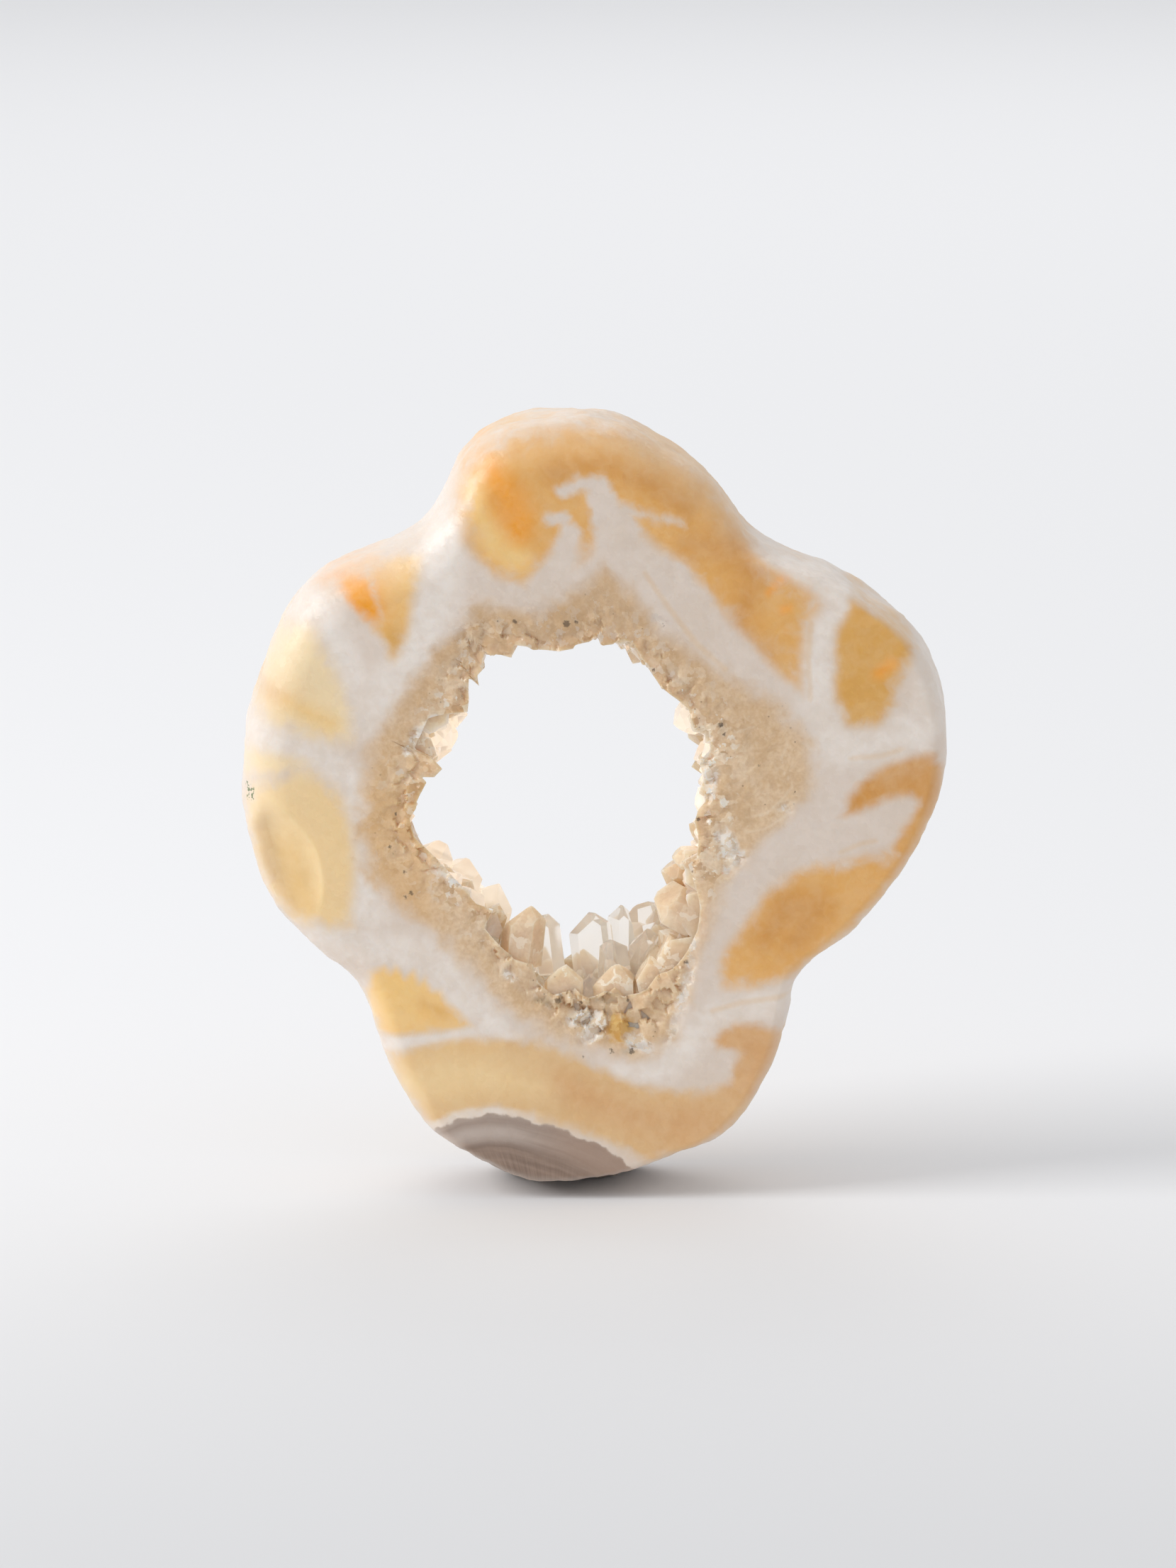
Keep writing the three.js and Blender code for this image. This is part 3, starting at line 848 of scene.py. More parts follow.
def new_group(
    name: str, inputs: dict[str, float | Colour], outputs: dict[str, str],
) -> tuple[NodeSheet, dict, dict]:
    """Starts a shader node group.

    Args:
        name: The group's name.
        inputs: Its inputs with their usual values: a number, or a colour as three numbers.
        outputs: Its outputs with their socket types.

    Returns:
        The sheet to fill, the group's inputs by name, and the sockets that its outputs take, by name.
    """
    tree = bpy.data.node_groups.new(name, "ShaderNodeTree")
    sheet = NodeSheet(tree)
    for label, value in inputs.items():
        kind = "NodeSocketColor" if isinstance(value, tuple) else "NodeSocketFloat"
        tree.interface.new_socket(label, in_out="INPUT", socket_type=kind).default_value = opaque(value)
    for label, kind in outputs.items():
        tree.interface.new_socket(label, in_out="OUTPUT", socket_type=kind)
    entry = sheet.add("NodeGroupInput")
    leave = sheet.add("NodeGroupOutput")
    return sheet, {o.name: o for o in entry.outputs}, {i.name: i for i in leave.inputs}


def feathered_border() -> bpy.types.NodeTree:
    """Builds the group that turns a depth into a mask whose border is feathered like plumes of mineral.

    Returns:
        The node group.
    """
    inputs = {"Depth": 0.0, "Feather": 1.0, "Size": 1.5, "Detail": 3.0}
    sheet, given, gives = new_group("feathered_border", inputs, {"Mask": "NodeSocketFloat"})
    scale = sheet.maths("DIVIDE", 1.0, given["Size"])
    links = {"Vector": sheet.millimetres(), "Scale": scale, "Detail": given["Detail"], "Distortion": 0.4}
    cloud = sheet.add("TexNoise", links).outputs["Fac"]
    wander = sheet.times(sheet.maths("SUBTRACT", cloud, 0.5), given["Feather"])
    depth = sheet.maths("MULTIPLY_ADD", wander, 4.0, given["Depth"])
    sheet.tree.links.new(sheet.ramp(depth, -1.5, 1.5), gives["Mask"])
    return sheet.tree


def mineral_mottle() -> bpy.types.NodeTree:
    """Builds the group that clouds a colour the way that stone is clouded, broadly and finely at once.

    Returns:
        The node group.
    """
    inputs = {"Colour": Tone.MILK.value, "Tint": Tone.TAN.value, "Broad": 4.0, "Fine": 0.6, "Amount": 0.3}
    sheet, given, gives = new_group("mineral_mottle", inputs, {"Colour": "NodeSocketColor"})
    place = sheet.millimetres()
    clouds = []
    for size in (given["Broad"], given["Fine"]):
        scale = sheet.maths("DIVIDE", 1.0, size)
        links = {"Vector": place, "Scale": scale, "Detail": 3.0, "Distortion": 0.6}
        clouds.append(sheet.add("TexNoise", links).outputs["Fac"])
    both = sheet.maths("MULTIPLY_ADD", clouds[1], 0.45, sheet.times(clouds[0], 0.55))
    share = sheet.times(sheet.ramp(both, 0.36, 0.64), given["Amount"])
    sheet.tree.links.new(sheet.mix(share, given["Colour"], given["Tint"]), gives["Colour"])
    return sheet.tree


def dark_specks() -> bpy.types.NodeTree:
    """Builds the group that scatters small dark grains, gathered where a broad cloud is dense.

    Returns:
        The node group.
    """
    inputs = {"Spacing": 1.0, "Grain": 0.12, "Gathering": 0.5}
    sheet, given, gives = new_group("dark_specks", inputs, {"Mask": "NodeSocketFloat"})
    place = sheet.millimetres()
    scale = sheet.maths("DIVIDE", 1.0, given["Spacing"])
    cells = sheet.add("TexVoronoi", {"Vector": place, "Scale": scale}, voronoi_dimensions="3D")
    near = sheet.maths("LESS_THAN", cells.outputs["Distance"], given["Grain"])
    gathered = sheet.maths("GREATER_THAN", sheet.cloud(place, 3.5), given["Gathering"])
    sheet.tree.links.new(sheet.times(near, gathered), gives["Mask"])
    return sheet.tree


def broken_facets() -> bpy.types.NodeTree:
    """Builds the group that tilts a surface cell by cell, as broken quartz does, and so makes it glint.

    Returns:
        The node group.
    """
    inputs = {"Size": 0.5, "Tilt": 0.5, "Share": 1.0}
    outputs = {"Normal": "NodeSocketVector", "Shade": "NodeSocketFloat"}
    sheet, given, gives = new_group("broken_facets", inputs, outputs)
    middle = (0.5, 0.5, 0.5)
    place = sheet.millimetres()
    scale = sheet.maths("DIVIDE", 1.0, given["Size"])
    swirl = sheet.add("TexNoise", {"Vector": place, "Scale": scale, "Detail": 3.0}).outputs["Color"]
    reach = sheet.times(given["Size"], 2.4)
    bent = sheet.vectors("SCALE", sheet.vectors("SUBTRACT", swirl, middle), reach)
    links = {"Vector": sheet.vectors("ADD", place, bent), "Scale": scale}
    cell = sheet.add("TexVoronoi", links, voronoi_dimensions="3D").outputs["Color"]
    tilt = sheet.times(given["Tilt"], given["Share"])
    lean = sheet.vectors("SCALE", sheet.vectors("SUBTRACT", cell, middle), tilt)
    leant = sheet.vectors("ADD", sheet.add("NewGeometry").outputs["Normal"], lean)
    sheet.tree.links.new(sheet.vectors("NORMALIZE", leant), gives["Normal"])
    sheet.tree.links.new(sheet.axis(cell, "X"), gives["Shade"])
    return sheet.tree


class Effects:
    """The effects that several finishes share, each built once.

    Attributes:
        border: A feathered border between two minerals.
        mottle: The clouding of a colour.
        specks: Scattered dark grains.
        facets: The tilted cells of broken quartz.
    """

    def __init__(self) -> None:
        """Builds every group."""
        self.border = feathered_border()
        self.mottle = mineral_mottle()
        self.specks = dark_specks()
        self.facets = broken_facets()


def new_material(name: str) -> NodeSheet:
    """Starts a material with an empty sheet of nodes.

    Args:
        name: The material's name.

    Returns:
        The sheet. Its tree is the material's own.
    """
    material = bpy.data.materials.new(name)
    material.use_nodes = True
    return NodeSheet(material.node_tree)


@dataclass(frozen=True)
class ChalcedonyFinish:
    """Polished chalcedony: white milk, honey stains, a grey cap and the tan quartz next to the hollow.

    Attributes:
        effects: The shared effects.
        glow: Share of the light that wanders through the stone.
        glow_depth: How far that light wanders, in mm.
        polish: Roughness of the polished faces.
        skin_roughness: Roughness of the natural skin.
        skin_share: How much of its own colour the skin shows.
        relief: Height of the fine relief, in mm.
        bore_glow: Light that reaches the hollow's wall through the stone, as its own light.
    """

    effects: Effects
    glow: float = 0.6
    glow_depth: float = 1.1
    polish: float = 0.3
    skin_roughness: float = 0.55
    skin_share: float = 0.4
    relief: float = 0.12
    bore_glow: float = 0.45

    def material(self) -> bpy.types.Material:
        """Builds the material.

        Returns:
            The material.
        """
        sheet = new_material("polished_chalcedony")
        colour = self._milk(sheet)
        colour = self._honey(sheet, colour)
        colour = self._veins(sheet, colour)
        colour = self._cap(sheet, colour)
        skin = sheet.attribute("skin")
        colour = sheet.mix(sheet.times(skin, self.skin_share), colour, Tone.SKIN)
        colour, druse, facets = self._druse(sheet, colour)
        bump = sheet.add("Bump", {
            "Height": self._relief(sheet, skin, druse),
            "Distance": self.relief * MM,
            "Strength": 0.5,
            "Normal": facets.outputs["Normal"],
        })
        rougher = self.skin_roughness - self.polish
        shader = sheet.add("BsdfPrincipled", {
            "Base Color": colour,
            "Roughness": sheet.maths("MULTIPLY_ADD", skin, rougher, self.polish),
            "IOR": QUARTZ_IOR,
            "Subsurface Weight": self.glow,
            "Subsurface Radius": (1.0, 0.85, 0.7),
            "Subsurface Scale": self.glow_depth * MM,
            "Specular IOR Level": 0.5,
            "Emission Color": sheet.mix(sheet.attribute("bore"), (0.0, 0.0, 0.0), Tone.TAN),
            "Emission Strength": self.bore_glow,
            "Normal": bump.outputs["Normal"],
        })
        return sheet.finish(shader)

    def _milk(self, sheet: NodeSheet) -> Socket:
        """Colours the white ground, whitest beside the veins.

        Args:
            sheet: The material's sheet.

        Returns:
            The colour.
        """
        ground = sheet.mix(sheet.attribute("milk"), Tone.MILK, Tone.WHITE)
        inputs = {"Colour": ground, "Tint": Tone.MILK_SHADE, "Broad": 5.0, "Fine": 1.1, "Amount": 0.4}
        return sheet.group(self.effects.mottle, inputs).outputs["Colour"]

    def _honey(self, sheet: NodeSheet, ground: Socket) -> Socket:
        """Stains the ground honey, with pale clouds in the stain.

        Args:
            sheet: The material's sheet.
            ground: The colour so far.

        Returns:
            The colour.
        """
        stain = sheet.attribute("stain", "Color")
        inputs = {"Colour": stain, "Tint": Tone.STRAW, "Broad": 3.4, "Fine": 0.9, "Amount": 0.16}
        clouded = sheet.group(self.effects.mottle, inputs).outputs["Colour"]
        inputs = {"Depth": sheet.attribute("honey"), "Feather": 0.9, "Size": 1.6, "Detail": 6.0}
        mask = sheet.group(self.effects.border, inputs).outputs["Mask"]
        return sheet.mix(mask, ground, clouded)

    def _veins(self, sheet: NodeSheet, below: Socket) -> Socket:
        """Lays the white veins and their thin growth lines over the stain.

        Args:
            sheet: The material's sheet.
            below: The colour so far.

        Returns:
            The colour.
        """
        inputs = {"Depth": sheet.attribute("vein"), "Feather": 1.3, "Size": 1.6, "Detail": 6.0}
        mask = sheet.group(self.effects.border, inputs).outputs["Mask"]
        veined = sheet.mix(mask, below, self._milk(sheet))
        thread = sheet.ramp(sheet.attribute("thread"), -0.3, 0.08, 0.0, 0.3)
        return sheet.mix(thread, veined, Tone.BUFF)

    def _cap(self, sheet: NodeSheet, below: Socket) -> Socket:
        """Lays the grey cap over the foot of the slice, banded above and fibrous below.

        Args:
            sheet: The material's sheet.
            below: The colour so far.

        Returns:
            The colour.
        """
        place = sheet.millimetres()
        cap = sheet.attribute("cap")
        turn = sheet.attribute("cap_fan")
        ragged = sheet.wandering("cap", sheet.stray(place, 1.3, 1.2, 4.0))
        fan = sheet.add("CombineXYZ", {
            "X": sheet.times(turn, 90.0),
            "Y": sheet.times(ragged, 0.12),
        })
        arcs = sheet.add("CombineXYZ", {"X": sheet.times(turn, 0.8), "Y": cap})
        fibre = sheet.cloud(fan.outputs["Vector"], 1.0, 3.0)
        arc = sheet.cloud(arcs.outputs["Vector"], 1 / 1.2, 4.0)
        fibrous = sheet.ramp(cap, 2.0, 4.5, 0.0, 0.5)
        streak = sheet.ramp(sheet.mix(fibrous, arc, fibre), 0.36, 0.66)
        side = sheet.axis(place, "X")
        left = sheet.ramp(side, -4.0, -8.5)
        upper = sheet.mix(streak, Tone.CAP_GREY, Tone.CAP_LIGHT)
        band = sheet.times(sheet.ramp(cap, 0.5, 1.4), sheet.ramp(cap, 3.2, 2.0))
        paler = sheet.mix(sheet.times(left, band), upper, Tone.CAP_PALE)
        browner = sheet.mix(sheet.ramp(side, -6.0, -1.0, 0.0, 0.6), paler, Tone.CAP_BROWN)
        lower = sheet.mix(streak, Tone.CAP_DARK, Tone.CAP_FIBRE)
        grey = sheet.mix(sheet.ramp(cap, 1.5, 3.0), browner, lower)
        edged = sheet.mix(sheet.ramp(ragged, 0.5, -0.3, 0.0, 0.25), grey, Tone.CAP_EDGE)
        off_edge = sheet.maths("ABSOLUTE", sheet.maths("ADD", ragged, 0.3))
        ring = sheet.ramp(off_edge, 0.05, 0.8, 0.7, 0.0)
        halo = sheet.times(ring, sheet.maths("MULTIPLY_ADD", left, 0.93, 0.07))
        return sheet.mix(sheet.ramp(ragged, -0.12, 0.14), sheet.mix(halo, below, Tone.WHITE), edged)

    def _druse(self, sheet: NodeSheet, below: Socket) -> tuple[Socket, Socket, bpy.types.Node]:
        """Lays the tan quartz over the rest, next to the hollow, and the grains and green speck over all.

        Args:
            sheet: The material's sheet.
            below: The colour so far.

        Returns:
            The colour, the quartz's mask and the facets' node.
        """
        place = sheet.millimetres()
        mask = sheet.ramp(sheet.wandering("druse", sheet.stray(place, 2.4, 3.0, 4.0, 0.5)), -0.9, 1.3)
        ragged = sheet.stray(place, 0.9, 1.6, 4.0, 0.5)
        frost = sheet.ramp(sheet.wandering("frost", ragged), -0.25, 0.35)
        patchy = sheet.ramp(sheet.cloud(place, 2.2, 3.0), 0.38, 0.62)
        reach = sheet.ramp(sheet.attribute("sugar"), 5.5, 0.8)
        least = sheet.times(reach, 0.45)
        broken = sheet.maths("MULTIPLY_ADD", patchy, sheet.times(reach, 0.55), least)
        calm = sheet.maths("MULTIPLY_ADD", broken, 0.55, 0.12)
        share = sheet.maths("MAXIMUM", calm, sheet.times(frost, 0.9))
        inputs = {"Size": 0.5, "Tilt": 1.0, "Share": share}
        facets = sheet.group(self.effects.facets, inputs)
        shade = facets.outputs["Shade"]
        colour = tan_quartz_colour(sheet, self.effects, facets, broken)
        height = sheet.axis(place, "Z")
        colour = sheet.mix(sheet.ramp(height, 38.0, 50.0, 0.0, 0.5), colour, Tone.TAN_HIGH)
        left = sheet.ramp(sheet.axis(place, "X"), -12.0, -15.5, 0.0, 0.5)
        golden = sheet.times(left, sheet.ramp(height, 42.0, 34.0))
        colour = sheet.mix(golden, colour, Tone.TAN_GOLD)
        smoke = sheet.ramp(sheet.wandering("smoke", ragged), -0.3, 0.5, 0.0, 0.5)
        colour = sheet.mix(smoke, colour, Tone.SMOKE)
        amber = sheet.ramp(sheet.wandering("amber", ragged), -0.3, 0.4, 0.0, 0.9)
        colour = sheet.mix(amber, colour, sheet.mix(shade, Tone.AMBER_DARK, Tone.AMBER_PALE))
        white = sheet.mix(sheet.ramp(shade, 0.1, 0.8), Tone.FROST_DARK, Tone.FROST_PALE)
        colour = sheet.mix(sheet.times(frost, 0.75), colour, white)
        crack = sheet.ramp(sheet.attribute("crack"), -0.16, 0.04, 0.0, 0.3)
        colour = sheet.mix(mask, below, sheet.mix(crack, colour, Tone.SHARD_PALE))
        grain = sheet.ramp(sheet.wandering("grain", sheet.stray(place, 0.25, 0.5)), -0.06, 0.08, 0.0, 0.75)
        colour = sheet.mix(grain, colour, Tone.GRAIN)
        moss = sheet.ramp(sheet.wandering("moss", sheet.stray(place, 0.3, 2.0)), 0.0, 0.12, 0.0, 0.8)
        return sheet.mix(moss, colour, Tone.MOSS), mask, facets

    def _relief(self, sheet: NodeSheet, skin: Socket, druse: Socket) -> Socket:
        """Gives the fine relief: grain on the skin, and a slightly pitted polish on the quartz.

        Args:
            sheet: The material's sheet.
            skin: The skin's mask.
            druse: The tan quartz's mask.

        Returns:
            The height, as a share of the relief's own.
        """
        place = sheet.millimetres()
        rough = sheet.times(sheet.cloud(place, 0.45, 5.0), skin)
        pitted = sheet.times(sheet.cloud(place, 0.3, 3.0), sheet.times(druse, 0.5))
        return sheet.maths("ADD", rough, pitted)


def tan_quartz_colour(
    sheet: NodeSheet, effects: Effects, facets: bpy.types.Node, broken: object,
) -> Socket:
    """Colours milky tan quartz: clouded, with shards of unlike brightness, painted glints and dark specks.

    Args:
        sheet: The material's sheet.
        effects: The shared effects.
        facets: The material's facets node.
        broken: How broken it is, from 0 to 1, which also sets how strongly the painted glints show.

    Returns:
        The colour.
    """
    inputs = {"Colour": Tone.TAN, "Tint": Tone.TAN_SHADE, "Broad": 3.2, "Fine": 0.5, "Amount": 0.7}
    colour = sheet.group(effects.mottle, inputs).outputs["Colour"]
    inputs = {"Size": 0.9, "Tilt": 0.0, "Share": 0.0}
    shards = sheet.group(effects.facets, inputs).outputs["Shade"]
    pale = sheet.times(sheet.ramp(shards, 0.45, 1.0, 0.0, 0.8), broken)
    colour = sheet.mix(pale, colour, Tone.SHARD_PALE)
    dark = sheet.times(sheet.ramp(shards, 0.35, 0.0, 0.0, 0.7), broken)
    colour = sheet.mix(dark, colour, Tone.SHARD_DARK)
    sand = sheet.ramp(sheet.cloud(sheet.millimetres(), 0.3, 3.0), 0.4, 0.62, 0.0, 0.16)
    colour = sheet.mix(sand, colour, Tone.SAND)
    # Painted glints: the brightest cells are whitened as if they caught the light
    glint = sheet.ramp(facets.outputs["Shade"], 0.88, 0.95, 0.0, 0.9)
    colour = sheet.mix(sheet.times(glint, broken), colour, Tone.GLINT)
    specks = sheet.group(effects.specks, {"Spacing": 0.8, "Grain": 0.1, "Gathering": 0.54})
    return sheet.mix(sheet.times(specks.outputs["Mask"], 0.5), colour, Tone.SPECK)


@dataclass(frozen=True)
class MilkyQuartzFinish:
    """Tan milky quartz, waxy and lit from inside.

    Attributes:
        effects: The shared effects.
        glow: Share of the light that wanders through it.
        glow_depth: How far that light wanders, in mm.
        roughness: Roughness of its faces.
        broken: How broken its faces look, from 0 to 1, and how strongly their painted glints show.
        paleness: How much paler it is than the polished quartz beside it.
        own_light: Light that reaches it through the stone, as its own light.
    """

    effects: Effects
    glow: float = 1.0
    glow_depth: float = 2.2
    roughness: float = 0.25
    broken: float = 0.4
    paleness: float = 0.3
    own_light: float = 0.01

    def material(self) -> bpy.types.Material:
        """Builds the material.

        Returns:
            The material.
        """
        sheet = new_material("milky_quartz")
        inputs = {"Size": 0.9, "Tilt": 0.1, "Share": 1.0}
        facets = sheet.group(self.effects.facets, inputs)
        tan = tan_quartz_colour(sheet, self.effects, facets, self.broken)
        shader = sheet.add("BsdfPrincipled", {
            "Base Color": sheet.mix(self.paleness, tan, Tone.POINT_PALE),
            "Roughness": self.roughness,
            "IOR": QUARTZ_IOR,
            "Subsurface Weight": self.glow,
            "Subsurface Radius": (1.0, 0.88, 0.75),
            "Subsurface Scale": self.glow_depth * MM,
            "Normal": facets.outputs["Normal"],
            "Emission Color": opaque(Tone.POINT_LIGHT),
            "Emission Strength": self.own_light,
        })
        return sheet.finish(shader)


@dataclass(frozen=True)
class ClearQuartzFinish:
    """See-through quartz, with a faint colour of its own.

    Attributes:
        name: The material's name.
        surface: Colour of the light that enters it.
        inside: Colour that the light takes on inside it.
        density: How strongly it takes that colour on, for each metre.
        roughness: Roughness of its faces.
        clearness: Share of the light that passes. The rest is scattered by veils inside it.
        own_light: Light that those veils gather from all round, as its own light.
    """

    name: str
    surface: Colour
    inside: Colour
    density: float
    roughness: float = 0.1
    clearness: float = 0.8
    own_light: float = 0.08

    def material(self) -> bpy.types.Material:
        """Builds the material.

        Returns:
            The material.
        """
        sheet = new_material(self.name)
        shader = sheet.add("BsdfPrincipled", {
            "Base Color": opaque(self.surface),
            "Roughness": self.roughness,
            "IOR": QUARTZ_IOR,
            "Transmission Weight": self.clearness,
            "Emission Color": opaque(Tone.VEIL_LIGHT),
            "Emission Strength": self.own_light,
        })
        volume = sheet.add("VolumeAbsorption", {"Color": opaque(self.inside), "Density": self.density})
        return sheet.finish(shader, volume)


def periodic_blur(values: Array, width: float) -> Array:
    """Smooths a closed row of values.

    Args:
        values: The values round a ring, along the first axis.
        width: Spread of the smoothing, in steps.

    Returns:
        The smoothed values.
    """
    reach = math.ceil(3 * width)
    weights = np.exp(-0.5 * (np.arange(-reach, reach + 1) / width) ** 2)
    weights /= weights.sum()
    shifted = (w * np.roll(values, step, axis=0) for w, step in zip(weights, range(-reach, reach + 1)))
    return sum(shifted)


@dataclass(frozen=True)
class Section:
    """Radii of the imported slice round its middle, at a row of depths.

    Attributes:
        angles: The angles that were measured, in radians.
        depths: The depths that were measured, in mm.
        rim: Radius of the outside, by angle and depth.
        roots: Radius of the line that the crystals stand on, by angle and depth.
    """

    angles: Array
    depths: Array
    rim: Array
    roots: Array

    def read(self, table: Array, depth: Array) -> Array:
        """Reads one radius for each angle.

        Args:
            table: The rim's or the roots' table.
            depth: The depth to read at, one for each angle.

        Returns:
            The radii in mm.
        """
        place = np.interp(depth, self.depths, np.arange(len(self.depths)))
        low = np.minimum(place.astype(int), len(self.depths) - 2)
        share = place - low
        rows = np.arange(len(self.angles))
        return table[rows, low] * (1 - share) + table[rows, low + 1] * share


# Where the face is broken most, below the hollow
POCKET = (
    (9.4, 24.0), (8.6, 18.6), (6.6, 14.2), (3.6, 12.9), (-2.4, 13.9), (-4.8, 16.0), (-8.2, 19.0),
    (-10.0, 22.4), (-9.0, 25.0), (0.0, 22.0),
)

# How far the front edge is rounded, as an angle in degrees and the rounding's width in mm
FRONT_ROLL = (
    (-180, 3.0), (-160, 2.0), (-120, 1.5), (-112, 0.5), (-66, 0.5), (-55, 0.8), (0, 0.8), (22, 1.0),
    (29, 0.45), (55, 0.4), (62, 1.8), (70, 3.5), (112, 3.5), (132, 3.0), (180, 3.0),
)

# The scar at the left: its outer lip and the crease that it ends at, as x and z from the top down
SCAR_LIP = (
    (-28.16, 35.0), (-28.1, 33.0), (-28.5, 31.8), (-28.2, 30.7), (-28.1, 29.5), (-27.9, 28.4),
    (-27.36, 27.2), (-26.3, 26.0), (-25.2, 23.8),
)
SCAR_RIDGE = (
    (-28.1, 35.1), (-27.1, 34.2), (-25.6, 32.8), (-24.6, 31.6), (-23.9, 30.7), (-23.45, 29.5),
    (-23.2, 27.9), (-23.2, 26.6), (-23.6, 24.0),
)


@dataclass(frozen=True)
class Slab:
    """The slice itself: two polished faces, a natural rim and the bore that the crystals line.

    Attributes:
        centre: The point that its section is measured round, as x and z.
        steps: Steps round it.
        crust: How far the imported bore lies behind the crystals' roots, in mm.
        front_rows: Rows of the front face.
        roll_rows: Rows of each rounded edge.
        rim_rows: Rows of the rim.
        back_rows: Rows of the back face.
        bore_rows: Rows of the bore.
        back_roll: Width of the back edge's rounding, in mm.
        roll_depth: Depth of a rounding for each mm of its width.
        foot_slack: How far the foot lies below the line of sight along its front edge, in mm.
        tooth: Thickness of the points that the front cut runs through, in mm.
        tooth_slope: How far the hollow widens behind them, as a share of that thickness.
        jag: How far the bore's wall jags in and out, in mm.
        jag_size: Width of those jags, in mm.
        wave: Waviness of the polished faces, in mm.
        wave_size: Width of those waves, in mm.
        lump: Height of the rim's lumps, in mm.
        lump_size: Width of those lumps, in mm.
        pit: Height of its fine grain, in mm.
        pit_size: Width of that grain, in mm.
        foot_grain: Height of the foot's coarser grain, in mm.
        foot_size: Width of that grain, in mm.
        scar_depth: Depth of the scar, in mm.
        scar_foot: Heights between which the scar fades at its foot, in mm.
        scar_top: Heights between which it fades at its top, in mm.
        scar_back: Depth at which it ends, in mm.
        facet: Width of the facets of the broken quartz, in mm.
        facet_slope: Greatest slope of one.
        facet_start: Greatest depth of its middle, as a share of how deep the quartz is broken.
        pocket_break: How deep the quartz is broken below the hollow, in mm.
        frost_break: How much deeper it is where it is whitish, in mm.
        druse_break: How much deeper it is away from its border, in mm.
        edge_break: How much deeper it is beside the hollow, in mm.
        seed: Seed of the random numbers.
    """

    centre: Spot = (-1.0, 33.0)
    steps: int = 640
    crust: float = 1.0
    front_rows: int = 60
    roll_rows: int = 10
    rim_rows: int = 24
    back_rows: int = 30
    bore_rows: int = 8
    back_roll: float = 0.6
    roll_depth: float = 1.3
    foot_slack: float = 0.05
    tooth: float = 1.2
    tooth_slope: float = 0.3
    jag: float = 0.35
    jag_size: float = 1.5
    wave: float = 0.04
    wave_size: float = 7.0
    lump: float = 0.28
    lump_size: float = 5.0
    pit: float = 0.06
    pit_size: float = 0.7
    foot_grain: float = 0.3
    foot_size: float = 0.9
    scar_depth: float = 1.5
    scar_foot: Range = (23.5, 28.0)
    scar_top: Range = (31.0, 35.1)
    scar_back: float = -1.0
    facet: float = 1.1
    facet_slope: float = 0.9
    facet_start: float = 0.7
    pocket_break: float = 0.7
    frost_break: float = 0.3
    druse_break: float = 0.1
    edge_break: float = 0.3
    seed: int = 5

    def section(self) -> Section:
        """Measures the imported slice.

        Returns:
            Its radii at every angle and depth.
        """
        node = bpy.data.objects[SLAB_NODE]
        corners = [node.matrix_world @ v.co / MM for v in node.data.vertices]
        tree = BVHTree.FromPolygons(corners, [tuple(p.vertices) for p in node.data.polygons])
        angles = np.arange(self.steps) * math.tau / self.steps - math.pi
        depths = np.linspace(FRONT + 0.02, BACK - 0.02, 25)
        rim = np.zeros((len(angles), len(depths)))
        bore = np.zeros_like(rim)
        for i, angle in enumerate(angles):
            way = Vector((math.cos(angle), 0.0, math.sin(angle)))
            for j, depth in enumerate(depths):
                middle = Vector((self.centre[0], depth, self.centre[1]))
                rim[i, j] = OUTSIDE - tree.ray_cast(middle + OUTSIDE * way, -way)[3]
                bore[i, j] = tree.ray_cast(middle, way)[3]
        rim = np.maximum(rim, rim[:, ::-1])  # the back has no scar, and fills the front's
        downwards = np.maximum(-np.sin(angles), 0.1)[:, None]
        drop = (VIEW_SLOPE * (depths - FRONT) + self.foot_slack) / downwards
        rim = np.minimum(rim, radius_at(FOOT_EDGE, self.centre, angles, False)[:, None] + drop)
        return Section(angles, depths, periodic_blur(rim, 4.0), periodic_blur(bore, 2.0) - self.crust)

    def build(self, section: Section, markings: Markings) -> bpy.types.Object:
        """Builds the slab and paints its markings.

        Args:
            section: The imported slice's radii.
            markings: The stone's markings.

        Returns:
            The new piece.
        """
        rings = self._rings(section)
        count = len(rings)
        points = np.array(rings).reshape(-1, 3)
        skin = self._skin(points)
        points = self._weathered(points, skin)
        faces = []
        for row in range(count):
            this = row * self.steps
            following = (row + 1) % count * self.steps
            for i in range(self.steps):
                j = (i + 1) % self.steps
                faces.append((this + i, this + j, following + j, following + i))
        piece = mesh_object("chalcedony_slab", points, faces, True)
        piece.data.set_sharp_from_angle(angle=SHARP_ANGLE)
        for name, values in markings.fields(points).items():
            keep_attribute(piece.data, name, values)
        keep_attribute(piece.data, "skin", skin)
        level = np.arange(len(points)) // self.steps
        keep_attribute(piece.data, "bore", (level > count - self.bore_rows).astype(float))
        return piece

    def _rings(self, section: Section) -> list[Array]:
        """Lays the rings of points, over the front, round the rim, over the back and through the bore.

        Args:
            section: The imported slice's radii.

        Returns:
            The rings, each with one point for every angle, in mm.
        """
        degrees = np.degrees(section.angles)
        roll = np.interp(degrees, *zip(*FRONT_ROLL))
        ring = np.column_stack([np.cos(section.angles), np.zeros(self.steps), np.sin(section.angles)])
        jag = fractal(ring * 9.0, self.jag_size, 2) * self.jag
        inner_front = radius_at(FRONT_EDGE, self.centre, section.angles)
        inner_back = section.read(section.roots, np.full(self.steps, BACK)) + jag
        ones = np.ones(self.steps)
        rings = []

        def lay(radius: Array, depth: Array) -> None:
            """Adds a ring with a radius and a depth for every angle, in mm."""
            flat = ring * radius[:, None]
            rings.append(flat + np.column_stack([ones * self.centre[0], depth, ones * self.centre[1]]))

